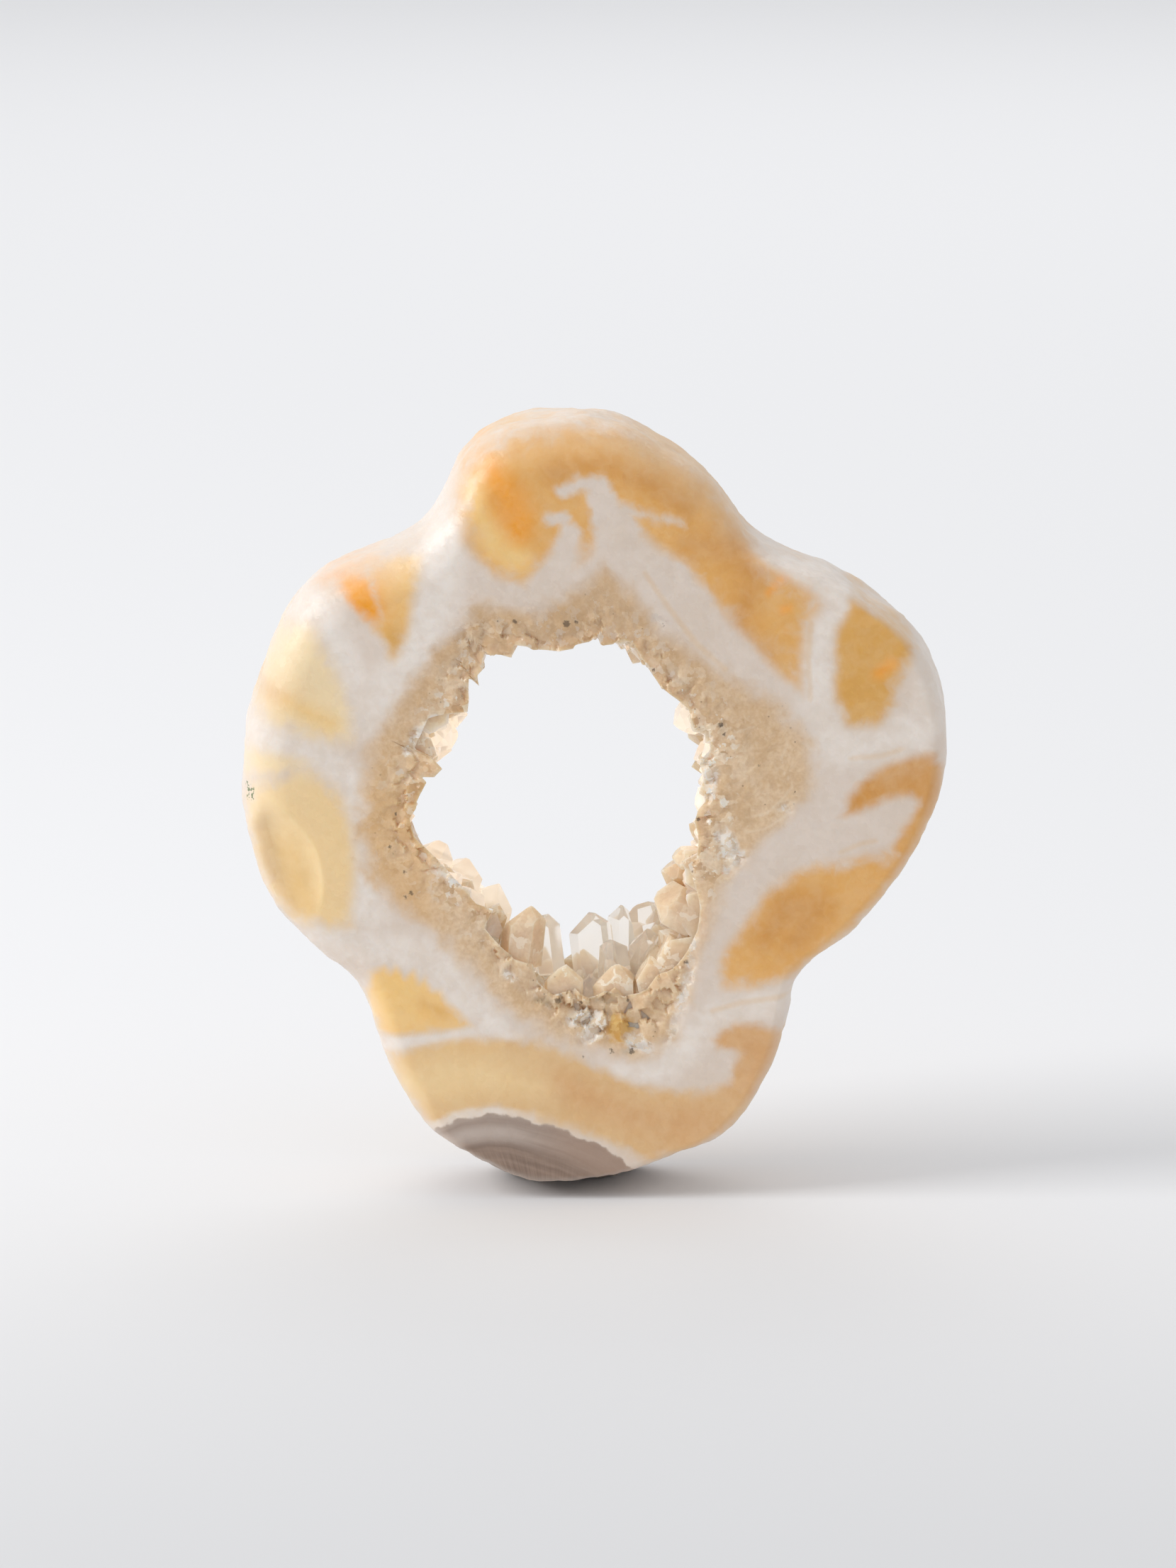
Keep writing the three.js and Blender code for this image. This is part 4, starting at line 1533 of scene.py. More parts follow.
        outer_front = section.read(section.rim, FRONT * ones) - roll
        for share in np.linspace(0, 1, self.front_rows, endpoint=False):
            lay(inner_front + share * (outer_front - inner_front), FRONT * ones)
        for turn in np.linspace(0, math.pi / 2, self.roll_rows, endpoint=False):
            depth = FRONT + roll * self.roll_depth * (1 - math.cos(turn))
            lay(section.read(section.rim, depth) - roll * (1 - math.sin(turn)), depth)
        rim_front = FRONT + roll * self.roll_depth
        rim_back = BACK - self.back_roll * self.roll_depth
        for share in np.linspace(0, 1, self.rim_rows, endpoint=False):
            depth = rim_front + share * (rim_back - rim_front)
            lay(section.read(section.rim, depth), depth)
        for turn in np.linspace(math.pi / 2, 0, self.roll_rows, endpoint=False):
            depth = (BACK - self.back_roll * self.roll_depth * (1 - math.cos(turn))) * ones
            lay(section.read(section.rim, depth) - self.back_roll * (1 - math.sin(turn)), depth)
        outer_back = section.read(section.rim, BACK * ones) - self.back_roll
        for share in np.linspace(0, 1, self.back_rows, endpoint=False):
            lay(outer_back + share * (inner_back - outer_back), BACK * ones)
        for share in np.linspace(0, 1, self.bore_rows):
            depth = (BACK + share * (FRONT + 2 * self.tooth - BACK)) * ones
            lay(section.read(section.roots, depth) + jag, depth)
        lay(inner_front + self.tooth_slope * self.tooth, (FRONT + self.tooth) * ones)
        return rings

    def _skin(self, points: Array) -> Array:
        """Tells which points are natural skin.

        Args:
            points: The slab's points in mm, ring by ring.

        Returns:
            1 on the rim, easing to 0 where the faces are polished, one for each point.
        """
        level = np.arange(len(points)) // self.steps
        start = self.front_rows
        end = start + self.roll_rows + self.rim_rows + self.roll_rows
        ended = smoothstep(end - self.roll_rows / 2, end, level)
        return smoothstep(start, start + self.roll_rows, level) * (1 - ended)

    def _weathered(self, points: Array, skin: Array) -> Array:
        """Adds the scar, the lumps and grain of the rim, and the waves of the polished faces.

        Args:
            points: The points in mm.
            skin: How far each one belongs to the natural skin.

        Returns:
            The moved points.
        """
        spots = points[:, (0, 2)] - np.array(self.centre)
        away = spots / np.linalg.norm(spots, axis=1)[:, None]
        rough = fractal(points, self.lump_size, 3) * self.lump
        rough += fractal(points, self.pit_size, 2) * self.pit
        low = 1 - smoothstep(0.2, 1.8, points[:, 2])
        rough += fractal(points, self.foot_size, 3) * self.foot_grain * low
        moved = points.copy()
        moved[:, (0, 2)] += away * (rough * skin)[:, None]
        level = np.arange(len(points)) // self.steps
        polished = (1 - skin) * smoothstep(0, 25, level)
        wave = (1 + fractal(points, self.wave_size, 2)) * 0.5 * self.wave * polished
        moved[:, 1] -= np.sign(points[:, 1]) * wave
        moved[:, 1] += self._scar(points)
        moved[:, 1] += self._broken(points)
        moved[:, 2] = np.maximum(moved[:, 2], 0.0)
        return moved

    def _broken(self, points: Array) -> Array:
        """Works out how deep the quartz of the front face is broken beside the hollow, in tilted facets.

        Args:
            points: The points in mm.

        Returns:
            How far each one is pushed back, in mm.
        """
        lift = np.zeros(len(points))
        druse = depth_in_outline(points[:, (0, 2)], DRUSE_BORDER)
        near = np.flatnonzero((points[:, 1] < FRONT + 0.01) & (druse > 0))
        spots = points[near][:, (0, 2)]
        depth = self.pocket_break * smoothstep(-0.3, 2.2, depth_in_outline(spots, POCKET))
        depth += self.frost_break * smoothstep(-0.4, 0.3, distance_to_lines(spots, FROST))
        depth += self.druse_break * smoothstep(0.5, 3.0, druse[near])
        depth += self.edge_break * (1 - smoothstep(0.4, 3.0, -depth_in_outline(spots, HOLLOW_VIEW)))
        dice = np.random.default_rng(self.seed)
        low = spots.min(axis=0)
        across, up = np.ceil((spots.max(axis=0) - low) / self.facet).astype(int)
        grid = np.stack(np.meshgrid(np.arange(across), np.arange(up)), axis=-1).reshape(-1, 2)
        seeds = low + (grid + dice.uniform(0, 1, grid.shape)) * self.facet
        slopes = dice.uniform(-self.facet_slope, self.facet_slope, grid.shape)
        starts = dice.uniform(0.0, self.facet_start, len(grid))
        tree = KDTree(len(seeds))
        for index, (x, z) in enumerate(seeds.tolist()):
            tree.insert((x, z, 0.0), index)
        tree.balance()
        nearest = np.array([tree.find((x, z, 0.0))[1] for x, z in spots.tolist()])
        plane = starts[nearest] + np.sum(slopes[nearest] * (spots - seeds[nearest]), axis=1)
        lift[near] = np.clip(plane, 0.0, 1.0) * depth
        return lift

    def _scar(self, points: Array) -> Array:
        """Works out the scar's depth, greatest near its lip and creased at its far side.

        Args:
            points: The points in mm.

        Returns:
            How far each one is pushed back, in mm.
        """
        x, y, z = points.T
        lip = np.interp(z, *zip(*sorted((b, a) for a, b in SCAR_LIP)))
        ridge = np.interp(z, *zip(*sorted((b, a) for a, b in SCAR_RIDGE)))
        across = (x - lip) / np.maximum(ridge - lip, 0.3)
        bowl = smoothstep(-0.4, 0.35, across) * np.clip(1 - across, 0.0, 1.0) ** 0.7
        tall = smoothstep(*self.scar_foot, z) * (1 - smoothstep(*self.scar_top, z))
        return self.scar_depth * bowl * tall * (1 - smoothstep(FRONT, self.scar_back, y))


class Kind(Enum):
    """The kinds of quartz point."""

    MILKY = "milky_points"
    CLEAR = "clear_points"
    AMBER = "amber_point"
    SMOKY = "smoky_point"
    VEILED = "veiled_points"


SIDE_SHARE = 0.866  # a hexagon's middle to its side, as a share of its middle to its corner
SIDE_RANGE = (0.82, 1.06)  # how unevenly a point's sides stand out
TIP_RANGE = (0.84, 1.04)  # how unevenly the faces of its tip do
TIP_SLOPES = (38.0, 51.0)  # how steeply those faces lean, in degrees from its axis
SPIN = 13  # how far a point is turned about its axis, in degrees to either side


@dataclass(frozen=True)
class Point:
    """One quartz point.

    Attributes:
        foot: Where it stands, in mm.
        way: Where it points.
        radius: Its width from axis to corner, in mm.
        length: Its length from foot to tip, in mm.
        kind: The kind of quartz.
        slimness: Its thickness along the view as a share of a regular point's.
    """

    foot: Place
    way: Place
    radius: float
    length: float
    kind: Kind = Kind.MILKY
    slimness: float = 1.0

    def hull(self, shape: bmesh.types.BMesh, dice: random.Random) -> None:
        """Adds it to a mesh, as a six-sided prism with an uneven six-sided tip.

        Args:
            shape: The mesh.
            dice: The random numbers that make it uneven.
        """
        planes = [Vector((0.0, 0.0, -1.0, 0.0))]
        for side in range(6):
            turn = math.radians(60 * side)
            steep = math.radians(dice.uniform(*TIP_SLOPES))
            flat = Vector((math.cos(turn), math.sin(turn), 0.0))
            tip = Vector((*(math.sin(steep) * flat.xy), math.cos(steep)))
            slim = self.slimness if side in (0, 3) else 1.0
            planes.append(Vector((*flat, -SIDE_SHARE * self.radius * slim * dice.uniform(*SIDE_RANGE))))
            planes.append(Vector((*tip, -self.length * math.cos(steep) * dice.uniform(*TIP_RANGE))))
        corners, _ = geometry.points_in_planes(planes, 1e-4, 1e-6)
        turned = Vector(self.way).to_track_quat("Z", "Y").to_matrix().to_4x4()
        spin = 30 if self.slimness == 1.0 else 0
        spun = Matrix.Rotation(math.radians(spin + dice.uniform(-SPIN, SPIN)), 4, "Z")
        placed = Matrix.Translation(Vector(self.foot)) @ turned @ spun
        made = [shape.verts.new((placed @ corner) * MM) for corner in corners]
        if len(made) > 3:
            bmesh.ops.convex_hull(shape, input=made)


# The large points that the photograph shows, from the left of the hollow's floor to its top
CHOSEN_POINTS = (
    Point((-6.4, -4.7, 20.0), (0.1, -0.05, 1.0), 1.9, 5.6),
    Point((-3.9, -1.0, 18.4), (-0.12, 0.05, 1.0), 1.6, 6.0, Kind.CLEAR, 0.6),
    Point((-2.9, -5.6, 15.2), (0.05, -0.05, 1.0), 1.9, 5.3),
    Point((-0.3, -4.6, 14.4), (0.0, 0.1, 1.0), 1.5, 5.2, Kind.SMOKY),
    Point((2.0, -5.0, 14.8), (-0.06, 0.0, 1.0), 2.1, 5.8),
    Point((5.4, -5.3, 16.6), (-0.2, 0.0, 1.0), 2.0, 5.0),
    Point((7.4, -5.0, 19.0), (-0.3, 0.0, 1.0), 1.8, 4.2),
    Point((0.1, 3.3, 16.6), (-0.12, 0.0, 1.0), 2.1, 7.2, Kind.CLEAR, 0.7),
    Point((2.4, 4.4, 17.0), (0.02, -0.05, 1.0), 1.8, 7.2, Kind.CLEAR, 0.85),
    Point((5.4, 4.0, 18.2), (-0.2, -0.05, 1.0), 1.9, 6.4, Kind.CLEAR, 0.8),
    Point((1.5, 0.4, 16.2), (0.05, -0.2, 1.0), 1.6, 5.6, Kind.CLEAR, 0.8),
    Point((4.4, 0.8, 17.2), (-0.06, -0.2, 1.0), 1.7, 5.6, Kind.CLEAR, 0.8),
    Point((8.6, -4.4, 24.0), (-1.0, 0.0, 0.55), 2.3, 4.6),
    Point((9.0, -2.0, 27.0), (-1.0, 0.0, 0.25), 1.9, 3.6),
    Point((9.6, -5.2, 29.4), (-1.0, 0.0, -0.05), 1.1, 3.4),
    Point((10.2, -3.2, 41.9), (-1.0, 0.0, -0.4), 1.7, 4.2, Kind.VEILED, 0.8),
    Point((-16.0, 1.0, 38.6), (1.0, 0.0, 0.1), 1.8, 4.8, Kind.VEILED),
    Point((-15.0, 3.0, 40.8), (1.0, 0.0, -0.05), 1.7, 4.4, Kind.VEILED),
    Point((-12.2, 3.0, 23.4), (0.35, 0.0, 1.0), 1.8, 5.2, Kind.VEILED),
    Point((-14.4, 3.4, 25.8), (0.4, 0.0, 1.0), 1.7, 4.0, Kind.VEILED),
    Point((-9.4, 2.4, 21.0), (0.3, 0.0, 1.0), 1.8, 5.0, Kind.VEILED),
    Point((-9.6, -3.6, 21.4), (0.3, 0.0, 1.0), 1.5, 4.2),
    Point((1.5, -5.6, 15.2), (0.0, -0.1, 1.0), 1.1, 3.6, Kind.AMBER),
)


# Top left of the hollow's outline, where it is the inner edge of the polished front face, as x and z
HOLLOW_TOP = (
    (-10.65, 45.14), (-9.93, 45.32), (-9.27, 45.99), (-8.85, 46.96), (-9.5, 47.5), (-8.37, 47.08),
    (-7.05, 46.78), (-6.81, 47.88), (-5.73, 47.75), (-5.25, 47.45), (-3.15, 47.33), (-1.77, 47.57),
    (-1.71, 47.88), (-0.45, 48.12), (0.15, 48.67), (0.51, 47.81), (1.47, 47.94),
)

# Outline of the hollow as the photograph shows it, points and all, clockwise from there
HOLLOW_VIEW = HOLLOW_TOP + (
    (1.8, 47.4), (2.6, 46.6), (3.6, 45.9), (4.8, 45.4), (5.6, 44.16), (7.1, 43.07), (7.0, 41.3),
    (7.4, 39.8), (8.9, 40.2), (8.8, 39.0), (7.9, 38.1), (8.25, 37.0), (8.4, 35.5), (8.6, 33.9),
    (7.8, 33.9), (7.5, 32.7), (7.9, 31.9), (7.9, 29.7), (6.6, 29.6), (6.6, 28.1), (6.1, 27.2),
    (5.8, 25.8), (5.1, 26.4), (4.35, 26.5), (3.2, 25.8), (1.7, 26.1), (0.75, 25.5), (-1.2, 25.5),
    (-2.2, 24.3), (-2.5, 22.6), (-1.65, 19.5), (-2.75, 22.05), (-4.95, 25.35), (-6.0, 25.8),
    (-7.2, 25.2), (-7.8, 25.4), (-8.25, 26.6), (-9.1, 27.8), (-10.3, 28.3), (-12.1, 29.7),
    (-13.65, 29.8), (-15.3, 31.4), (-15.7, 32.95), (-15.15, 33.9), (-15.1, 34.4), (-14.25, 36.1),
    (-14.7, 36.6), (-13.65, 36.5), (-12.9, 37.3), (-12.7, 38.3), (-11.7, 38.9), (-11.6, 40.5),
    (-10.8, 42.2), (-10.65, 43.19), (-9.75, 44.34), (-9.87, 44.59),
)

# Inner edge of the polished front face, clockwise from there
FRONT_EDGE = HOLLOW_TOP + (
    (2.13, 48.36), (3.21, 48.0), (3.93, 46.7), (4.8, 45.4), (5.6, 44.16), (7.1, 43.07), (7.9, 42.3),
    (8.3, 41.0), (8.6, 40.4), (9.6, 40.6), (9.7, 38.9), (8.8, 37.9), (9.2, 36.3), (9.3, 34.4),
    (8.7, 33.7), (8.4, 32.7), (8.7, 31.7), (8.6, 29.6), (7.9, 29.0), (8.4, 27.4), (8.9, 25.5),
    (8.7, 23.4), (7.9, 21.7), (6.9, 20.2), (5.2, 19.4), (4.4, 18.2), (2.6, 17.6), (0.8, 18.1),
    (-0.6, 17.4), (-1.8, 18.3), (-3.6, 17.7), (-4.9, 18.9), (-5.3, 20.4), (-6.9, 20.9),
    (-8.4, 22.4), (-9.4, 23.6), (-8.6, 25.2), (-10.05, 25.65), (-11.25, 27.1), (-12.3, 28.3),
    (-13.65, 29.8), (-15.3, 31.4), (-15.7, 32.95), (-15.15, 33.9), (-15.1, 34.4), (-14.25, 36.1),
    (-14.7, 36.6), (-13.65, 36.5), (-12.9, 37.3), (-13.65, 38.1), (-15.3, 38.95), (-14.7, 40.3),
    (-14.1, 41.6), (-10.77, 42.16), (-10.65, 43.19), (-9.75, 44.34), (-9.87, 44.59),
)

# Where the front edge of the foot runs, above the surface that the slice stands on further back
FOOT_EDGE = (
    (-13.5, 5.9), (-11.4, 4.4), (-8.4, 2.85), (-6.2, 1.95), (-3.6, 1.7), (0.6, 1.8), (3.9, 2.87),
    (6.0, 3.6), (7.5, 4.8),
)


def radius_at(outline: tuple[Spot, ...], centre: Spot, angles: Array, closed: bool = True) -> Array:
    """Reads an outline as a distance from a point.

    Args:
        outline: The outline, which goes once round the point.
        centre: The point.
        angles: The angles to read at, in radians.
        closed: Whether the outline closes. An open one is endlessly far past its ends.

    Returns:
        The distance at each angle, in mm.
    """
    spots = np.array(outline) - np.array(centre)
    around = np.arctan2(spots[:, 1], spots[:, 0])
    far = np.linalg.norm(spots, axis=1)
    order = np.argsort(around)
    if closed:
        return np.interp(angles, around[order], far[order], period=math.tau)
    return np.interp(angles, around[order], far[order], left=math.inf, right=math.inf)


# Where round the hollow most of the points are clear or veiled, in degrees from the right
CLEAR_SECTORS = ((143, 160), (-168, -138), (-35, 35))


@dataclass(frozen=True)
class Druse:
    """The quartz points that line the hollow.

    Attributes:
        slab: The slab that they stand in.
        rows: Depths of the rows of points between the large ones.
        spacing: Distance between two points of a row, in mm.
        lengths: Least and greatest length that those points would like, in mm.
        sugar_rows: Rows of the finest points.
        sugar_depth: How far those rows reach from the middle, in mm.
        sugar_spacing: Distance between two of their points, in mm.
        sugar_lengths: Least and greatest length that those would like, in mm.
        bore_radius: Rough radius of the hollow, in mm.
        gaps: Least and greatest gap between two points, as a share of their spacing.
        stagger: How far a point stands before or behind its row, in mm.
        sunk: How deep their feet lie in the wall, in mm.
        lean: How far they lean to any side.
        slender: Least and greatest length of a point, as a share of its radius.
        radii: Least and greatest radius, in mm.
        shortest: Least length of a point, in mm.
        shortening: How much it is shortened at a time, in mm.
        margin: Greatest distance that a point stays behind the view's outline, in mm.
        clear_depth: How far before and behind the middle there are clear points, in mm.
        clear_often: Share of clear and veiled points in the clear sectors.
        clear_seldom: Their share elsewhere.
        floor: Angles from the right between which they are clear, in degrees. The others are veiled.
        trim: How far before the middle the points are cut flat, in mm.
        amber_trim: The same for the amber one, which stands at the very front.
        back_trim: How far behind the middle they are all cut flat.
        seed: Seed of the random numbers.
    """

    slab: Slab
    rows: tuple[float, ...] = (-6.5, -4.8, -3.0, -1.0, 1.0, 3.0, 5.0, 6.6)
    spacing: float = 2.2
    lengths: Range = (2.0, 4.0)
    sugar_rows: int = 14
    sugar_depth: float = 6.7
    sugar_spacing: float = 1.0
    sugar_lengths: Range = (0.9, 1.8)
    bore_radius: float = 14.0
    gaps: Range = (0.6, 1.3)
    stagger: float = 0.5
    sunk: float = 0.5
    lean: float = 0.22
    slender: Range = (1.5, 2.3)
    radii: Range = (0.35, 1.7)
    shortest: float = 0.6
    shortening: float = 0.25
    margin: float = 0.7
    clear_depth: float = 5.2
    clear_often: float = 0.8
    clear_seldom: float = 0.35
    floor: Range = (35.0, 135.0)
    trim: float = 6.3
    amber_trim: float = 6.9
    back_trim: float = 6.975
    seed: int = 11

    def build(self, section: Section) -> list[bpy.types.Object]:
        """Builds every kind of point as one joined and trimmed piece.

        Args:
            section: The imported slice's radii.

        Returns:
            The new pieces.
        """
        dice = random.Random(self.seed)
        points = list(CHOSEN_POINTS)
        for depth in self.rows:
            points += self._row(section, dice, depth, self.spacing, self.lengths)
        for depth in np.linspace(-self.sugar_depth, self.sugar_depth, self.sugar_rows):
            points += self._row(section, dice, float(depth), self.sugar_spacing, self.sugar_lengths)
        return [self._joined(kind, [p for p in points if p.kind is kind], dice) for kind in Kind]

    def _row(
        self, section: Section, dice: random.Random, depth: float, spacing: float, lengths: Range,
    ) -> list[Point]:
        """Stands a row of points round the wall.

        Args:
            section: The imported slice's radii.
            dice: The random numbers.
            depth: Depth of the row.
            spacing: Mean distance between two of them, in mm.
            lengths: Least and greatest length, in mm.

        Returns:
            The points.
        """
        made = []
        angle = dice.uniform(0, 0.2)
        while angle < math.tau:
            place = depth + dice.uniform(-self.stagger, self.stagger)
            index = int(angle / math.tau * self.slab.steps) % self.slab.steps
            turn = float(section.angles[index])
            across, up = math.cos(turn), math.sin(turn)
            kind = self._kind(math.degrees(turn), place, dice)
            reach = section.roots[index, int(np.argmin(abs(section.depths - place)))] + self.sunk
            foot = Vector((self.slab.centre[0] + reach * across, place, self.slab.centre[1] + reach * up))
            lean = [dice.uniform(-self.lean, self.lean) for _ in range(3)]
            way = Vector((lean[0] - across, lean[1], lean[2] - up)).normalized()
            length = self._fitting(foot, way, dice.uniform(*lengths), dice.uniform(0.0, self.margin))
            radius = min(max(length / dice.uniform(*self.slender), self.radii[0]), self.radii[1])
            made.append(Point(tuple(foot), tuple(way), radius, length, kind))
            angle += spacing * dice.uniform(*self.gaps) / self.bore_radius
        return made

    def _kind(self, degrees: float, depth: float, dice: random.Random) -> Kind:
        """Chooses a point's kind.

        Args:
            degrees: Where it stands round the hollow, in degrees from the right.
            depth: The depth that it stands at, in mm.
            dice: The random numbers, of which it takes one.

        Returns:
            The kind.
        """
        often = any(low < degrees < high for low, high in CLEAR_SECTORS)
        share = self.clear_often if often else self.clear_seldom
        if dice.random() >= (share if abs(depth) <= self.clear_depth else 0.0):
            return Kind.MILKY
        return Kind.CLEAR if self.floor[0] <= abs(degrees) <= self.floor[1] else Kind.VEILED

    def _fitting(self, foot: Vector, way: Vector, length: float, margin: float) -> float:
        """Shortens a point until the photograph's view of the hollow stays free of it.

        Args:
            foot: Where it stands.
            way: Where it points.
            length: The length that it would like.
            margin: How far it stays behind the view's outline, in mm.

        Returns:
            The length that fits.
        """
        while length > self.shortest:
            tip = foot + way * length
            across = tip.x - self.slab.centre[0]
            up = tip.z + VIEW_SLOPE * (tip.y - FRONT) - self.slab.centre[1]
            angle = np.array([math.atan2(up, across)])
            if math.hypot(across, up) > radius_at(HOLLOW_VIEW, self.slab.centre, angle)[0] + margin:
                break
            length -= self.shortening
        return length

    def _joined(self, kind: Kind, points: list[Point], dice: random.Random) -> bpy.types.Object:
        """Joins points of one kind into a single closed mesh, cut flat at the front and at the back.

        Args:
            kind: The kind.
            points: Its points.
            dice: The random numbers that make them uneven.

        Returns:
            The new piece.
        """
        scene = bpy.context.scene
        heap = bpy.data.collections.new(kind.value)
        scene.collection.children.link(heap)
        for index, point in enumerate(points):
            shape = bmesh.new()
            point.hull(shape, dice)
            bmesh.ops.dissolve_limit(shape, angle_limit=0.01, verts=shape.verts, edges=shape.edges)
            mesh = bpy.data.meshes.new(f"point_{index}")
            shape.to_mesh(mesh)
            shape.free()
            heap.objects.link(bpy.data.objects.new(f"point_{index}", mesh))
        trim = self.amber_trim if kind is Kind.AMBER else self.trim
        block = box_object("trim", (-OUTSIDE, -trim, -10.0), (OUTSIDE, self.back_trim, 80.0))
        piece = bpy.data.objects.new(kind.value, bpy.data.meshes.new(kind.value))
        scene.collection.objects.link(piece)
        first = heap.objects[0]
        piece.data = first.data.copy()
        heap.objects.unlink(first)
        if heap.objects:
            cut(piece, "UNION", heap)
        trimming = bpy.data.collections.new("trimming")
        scene.collection.objects.unlink(block)
        trimming.objects.link(block)
        cut(piece, "INTERSECT", trimming)
        for used in (*heap.objects, block, first):
            bpy.data.objects.remove(used)
        bpy.data.collections.remove(heap)
        bpy.data.collections.remove(trimming)
        piece.data.name = kind.value
        piece.data.polygons.foreach_set("use_smooth", [False] * len(piece.data.polygons))
        return piece


def box_object(name: str, low: Place, high: Place) -> bpy.types.Object:
    """Makes a box.

    Args:
        name: The object's name.
        low: Its lowest corner, in mm.
        high: Its highest corner, in mm.

    Returns:
        The box.
    """
    corners = [(x, y, z) for x in (low[0], high[0]) for y in (low[1], high[1]) for z in (low[2], high[2])]
    faces = [(0, 1, 3, 2), (4, 6, 7, 5), (0, 4, 5, 1), (2, 3, 7, 6), (0, 2, 6, 4), (1, 5, 7, 3)]
    return mesh_object(name, np.array(corners), faces, False)


def cut(piece: bpy.types.Object, operation: str, tools: bpy.types.Collection) -> None:
    """Joins a piece with others or cuts it by them, and keeps the result as its mesh.

    Args:
        piece: The piece.
        operation: What is done, as the Boolean modifier names it.
        tools: The other objects.
    """
    modifier = piece.modifiers.new(operation, "BOOLEAN")
    modifier.operation = operation
    modifier.solver = "MANIFOLD"
    modifier.operand_type = "COLLECTION"
    modifier.collection = tools
    graph = bpy.context.evaluated_depsgraph_get()
    result = bpy.data.meshes.new_from_object(piece.evaluated_get(graph))
    piece.modifiers.clear()
    piece.data = result


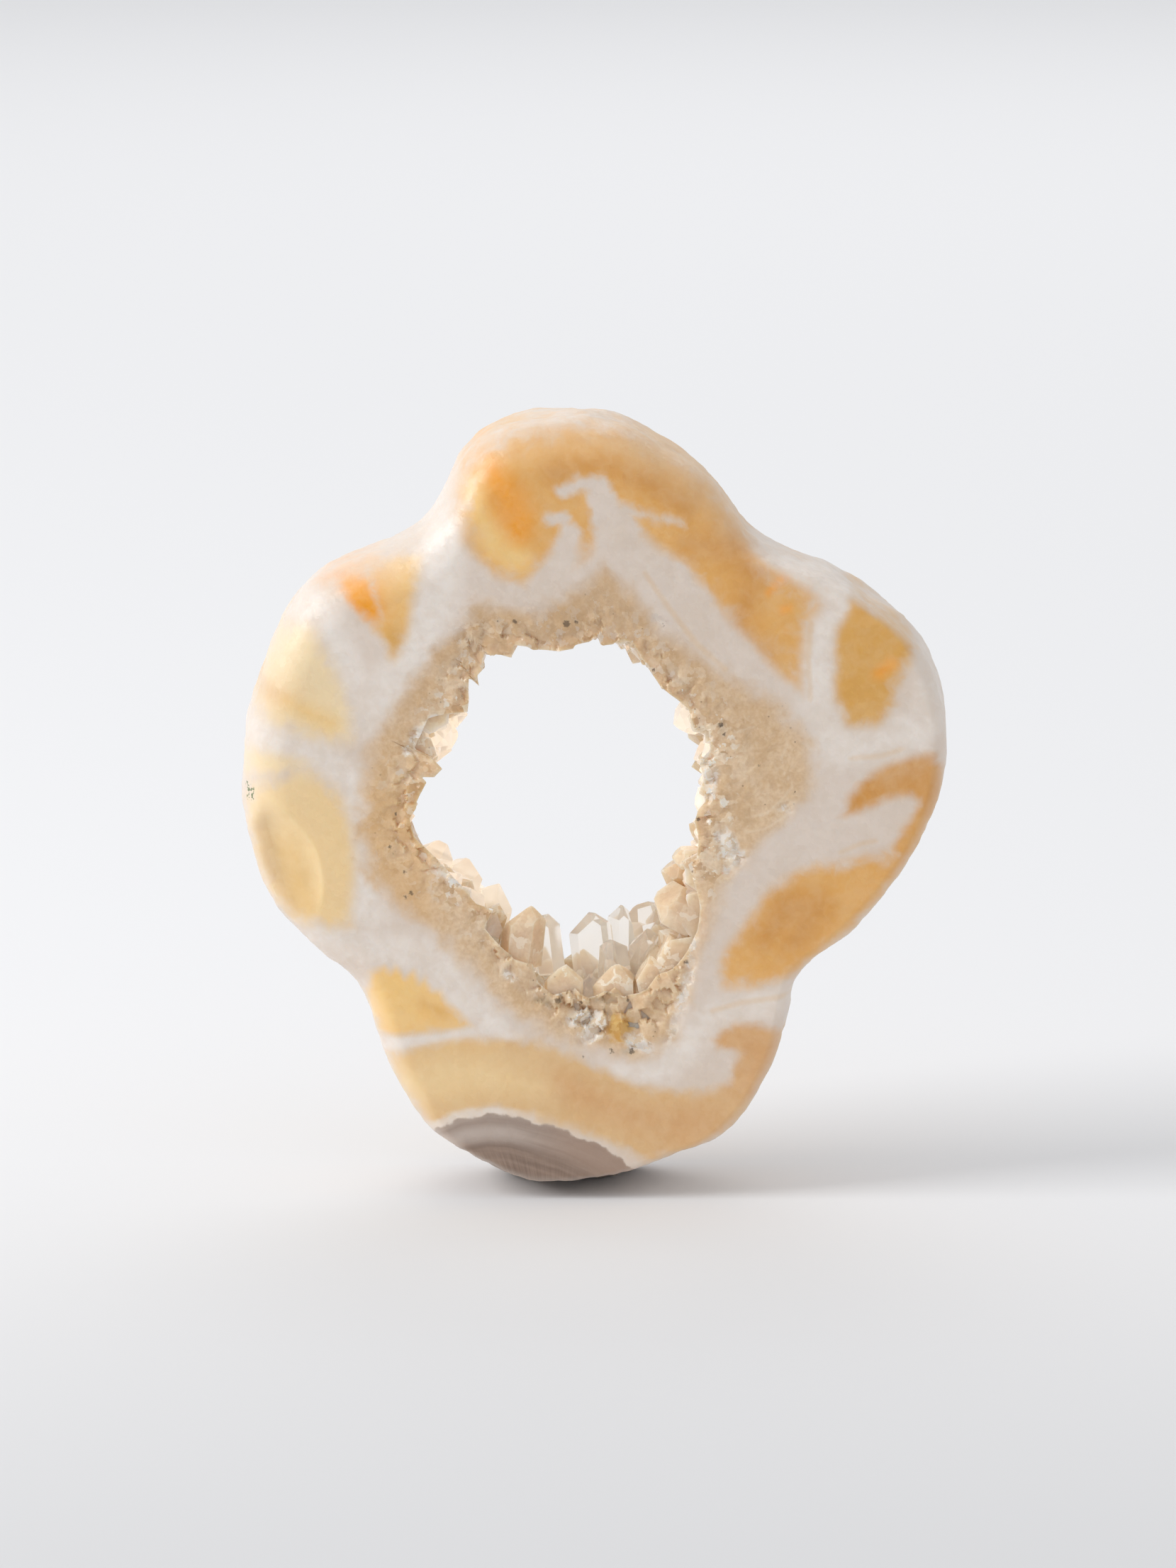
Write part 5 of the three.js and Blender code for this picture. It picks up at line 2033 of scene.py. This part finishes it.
@dataclass(frozen=True)
class Studio:
    """The pale floor, the soft light and the camera at the photograph's angle. Lengths are in metres.

    Attributes:
        floor_side: Side of the square floor.
        floor_drop: How far the floor lies under the slice.
        floor_near: Brightness of the floor next to the camera, where painted shade darkens it, as a share
            of that further back.
        floor_shade: Where the floor's painted shade is darkest and where it stops, as y.
        sky: Brightness of the light from all round.
        sky_colour: Its colour.
        key: Power of the key light, in watts.
        key_size: Side of the key light.
        key_place: Where it stands.
        back: Power of the light behind the slice, in watts.
        back_size: Side of that light.
        back_place: Where it stands.
        back_target: The point that it looks at.
        target: The point that the camera and the lights look at.
        away: Distance from the target to the camera.
        tilt: How far the camera looks down, in degrees.
        lens: Its focal length, in mm.
        sensor: Width and height of its sensor, in mm.
        nearest: Distance from which on it sees anything.
    """

    floor_side: float = 8.0
    floor_drop: float = 0.0001
    floor_near: float = 0.74
    floor_shade: Range = (-0.2, 0.07)
    sky: float = 0.70
    sky_colour: Colour = (0.97, 0.98, 1.0)
    key: float = 4.4
    key_size: float = 0.45
    key_place: Place = (-0.73, -0.24, 0.52)
    back: float = 2.4
    back_size: float = 0.8
    back_place: Place = (0.05, 1.05, 0.85)
    back_target: Place = (0.0, 0.6, 0.0)
    target: Place = (-0.0006, -0.007, 0.036)
    away: float = 0.62
    tilt: float = 10.0
    lens: float = 168.2
    sensor: Range = (27.0, 36.0)
    nearest: float = 0.01

    def build(self) -> bpy.types.Object:
        """Builds the floor, the light and the camera.

        Returns:
            The floor.
        """
        scene = bpy.context.scene
        half = self.floor_side / 2 / MM
        low = -self.floor_drop / MM
        corners = [(x * half, y * half, low) for x, y in ((-1, -1), (1, -1), (1, 1), (-1, 1))]
        floor = mesh_object("floor", np.array(corners), [(0, 1, 2, 3)], False)
        floor.data.materials.append(self._paper())
        scene.world = bpy.data.worlds.new("room")
        scene.world.use_nodes = True
        background = scene.world.node_tree.nodes["Background"]
        background.inputs["Color"].default_value = opaque(self.sky_colour)
        background.inputs["Strength"].default_value = self.sky
        self._lamp("key_light", self.key, self.key_size, self.key_place, self.target)
        self._lamp("back_light", self.back, self.back_size, self.back_place, self.back_target)
        camera = bpy.data.cameras.new("camera")
        camera.lens = self.lens
        camera.sensor_fit = "VERTICAL"
        camera.sensor_width, camera.sensor_height = self.sensor
        camera.clip_start = self.nearest
        camera.dof.use_dof = False
        tilt = math.radians(self.tilt)
        back = Vector((0.0, -math.cos(tilt), math.sin(tilt)))
        target = Vector(self.target)
        scene.camera = self._place("camera", camera, target + self.away * back, target)
        scene.view_settings.view_transform = "Standard"
        return floor

    def _paper(self) -> bpy.types.Material:
        """Builds the floor's material, with painted shade that darkens it towards the camera.

        Returns:
            The material.
        """
        sheet = new_material("pale_paper")
        depth = sheet.axis(sheet.add("TexCoord").outputs["Object"], "Y")
        # Painted shade: the floor darkens towards the camera
        near = tuple(self.floor_near * channel for channel in Tone.PAPER.value)
        colour = sheet.mix(sheet.ramp(depth, *self.floor_shade), near, Tone.PAPER)
        return sheet.finish(sheet.add("BsdfPrincipled", {"Base Color": colour, "Roughness": 0.9}))

    def _lamp(self, name: str, power: float, size: float, place: tuple, target: tuple) -> None:
        """Hangs a square lamp.

        Args:
            name: Its name.
            power: Its power in watts.
            size: Its side.
            place: Where it hangs.
            target: The point that it looks at.
        """
        lamp = bpy.data.lights.new(name, "AREA")
        lamp.energy = power
        lamp.size = size
        self._place(name, lamp, Vector(place), Vector(target))

    def _place(self, name: str, data: bpy.types.ID, place: Vector, target: Vector) -> bpy.types.Object:
        """Puts a lamp or the camera in the scene.

        Args:
            name: Its name.
            data: The lamp or the camera.
            place: Where it stands.
            target: The point that it looks at.

        Returns:
            The new object.
        """
        piece = bpy.data.objects.new(name, data)
        piece.location = place
        piece.rotation_euler = (target - place).to_track_quat("-Z", "Y").to_euler()
        bpy.context.scene.collection.objects.link(piece)
        return piece


def main() -> None:
    """Builds the dressed slice and its studio, piece by piece."""
    logging.basicConfig(level=logging.INFO, format="%(name)s: %(message)s")
    effects = Effects()
    slab = Slab()
    section = slab.section()
    log.info("slice measured at %d angles", len(section.angles))
    stone = slab.build(section, Markings())
    stone.data.materials.append(ChalcedonyFinish(effects).material())
    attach(stone, BODY)
    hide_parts(SLAB_NODE)
    log.info("%s has %d faces", stone.name, len(stone.data.polygons))
    finishes = {
        Kind.MILKY: MilkyQuartzFinish(effects),
        Kind.CLEAR: ClearQuartzFinish("clear_quartz", (1.0, 0.995, 0.98), (0.95, 0.88, 0.76), 15.0),
        Kind.AMBER: ClearQuartzFinish("amber_quartz", (0.95, 0.82, 0.55), (0.86, 0.62, 0.28), 420.0),
        Kind.SMOKY: ClearQuartzFinish("smoky_quartz", (0.86, 0.80, 0.72), (0.66, 0.55, 0.44), 260.0),
        Kind.VEILED: ClearQuartzFinish(
            "veiled_quartz", (1.0, 0.98, 0.94), (0.95, 0.88, 0.76), 15.0,
            roughness=0.14, clearness=0.5, own_light=0.2,
        ),
    }
    for piece in Druse(slab).build(section):
        piece.data.materials.clear()
        piece.data.materials.append(finishes[Kind(piece.name)].material())
        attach(piece, BODY)
        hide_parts(CRUST_NODE)
        log.info("%s has %d faces", piece.name, len(piece.data.polygons))
    Studio().build()


if __name__ == "__main__":
    main()
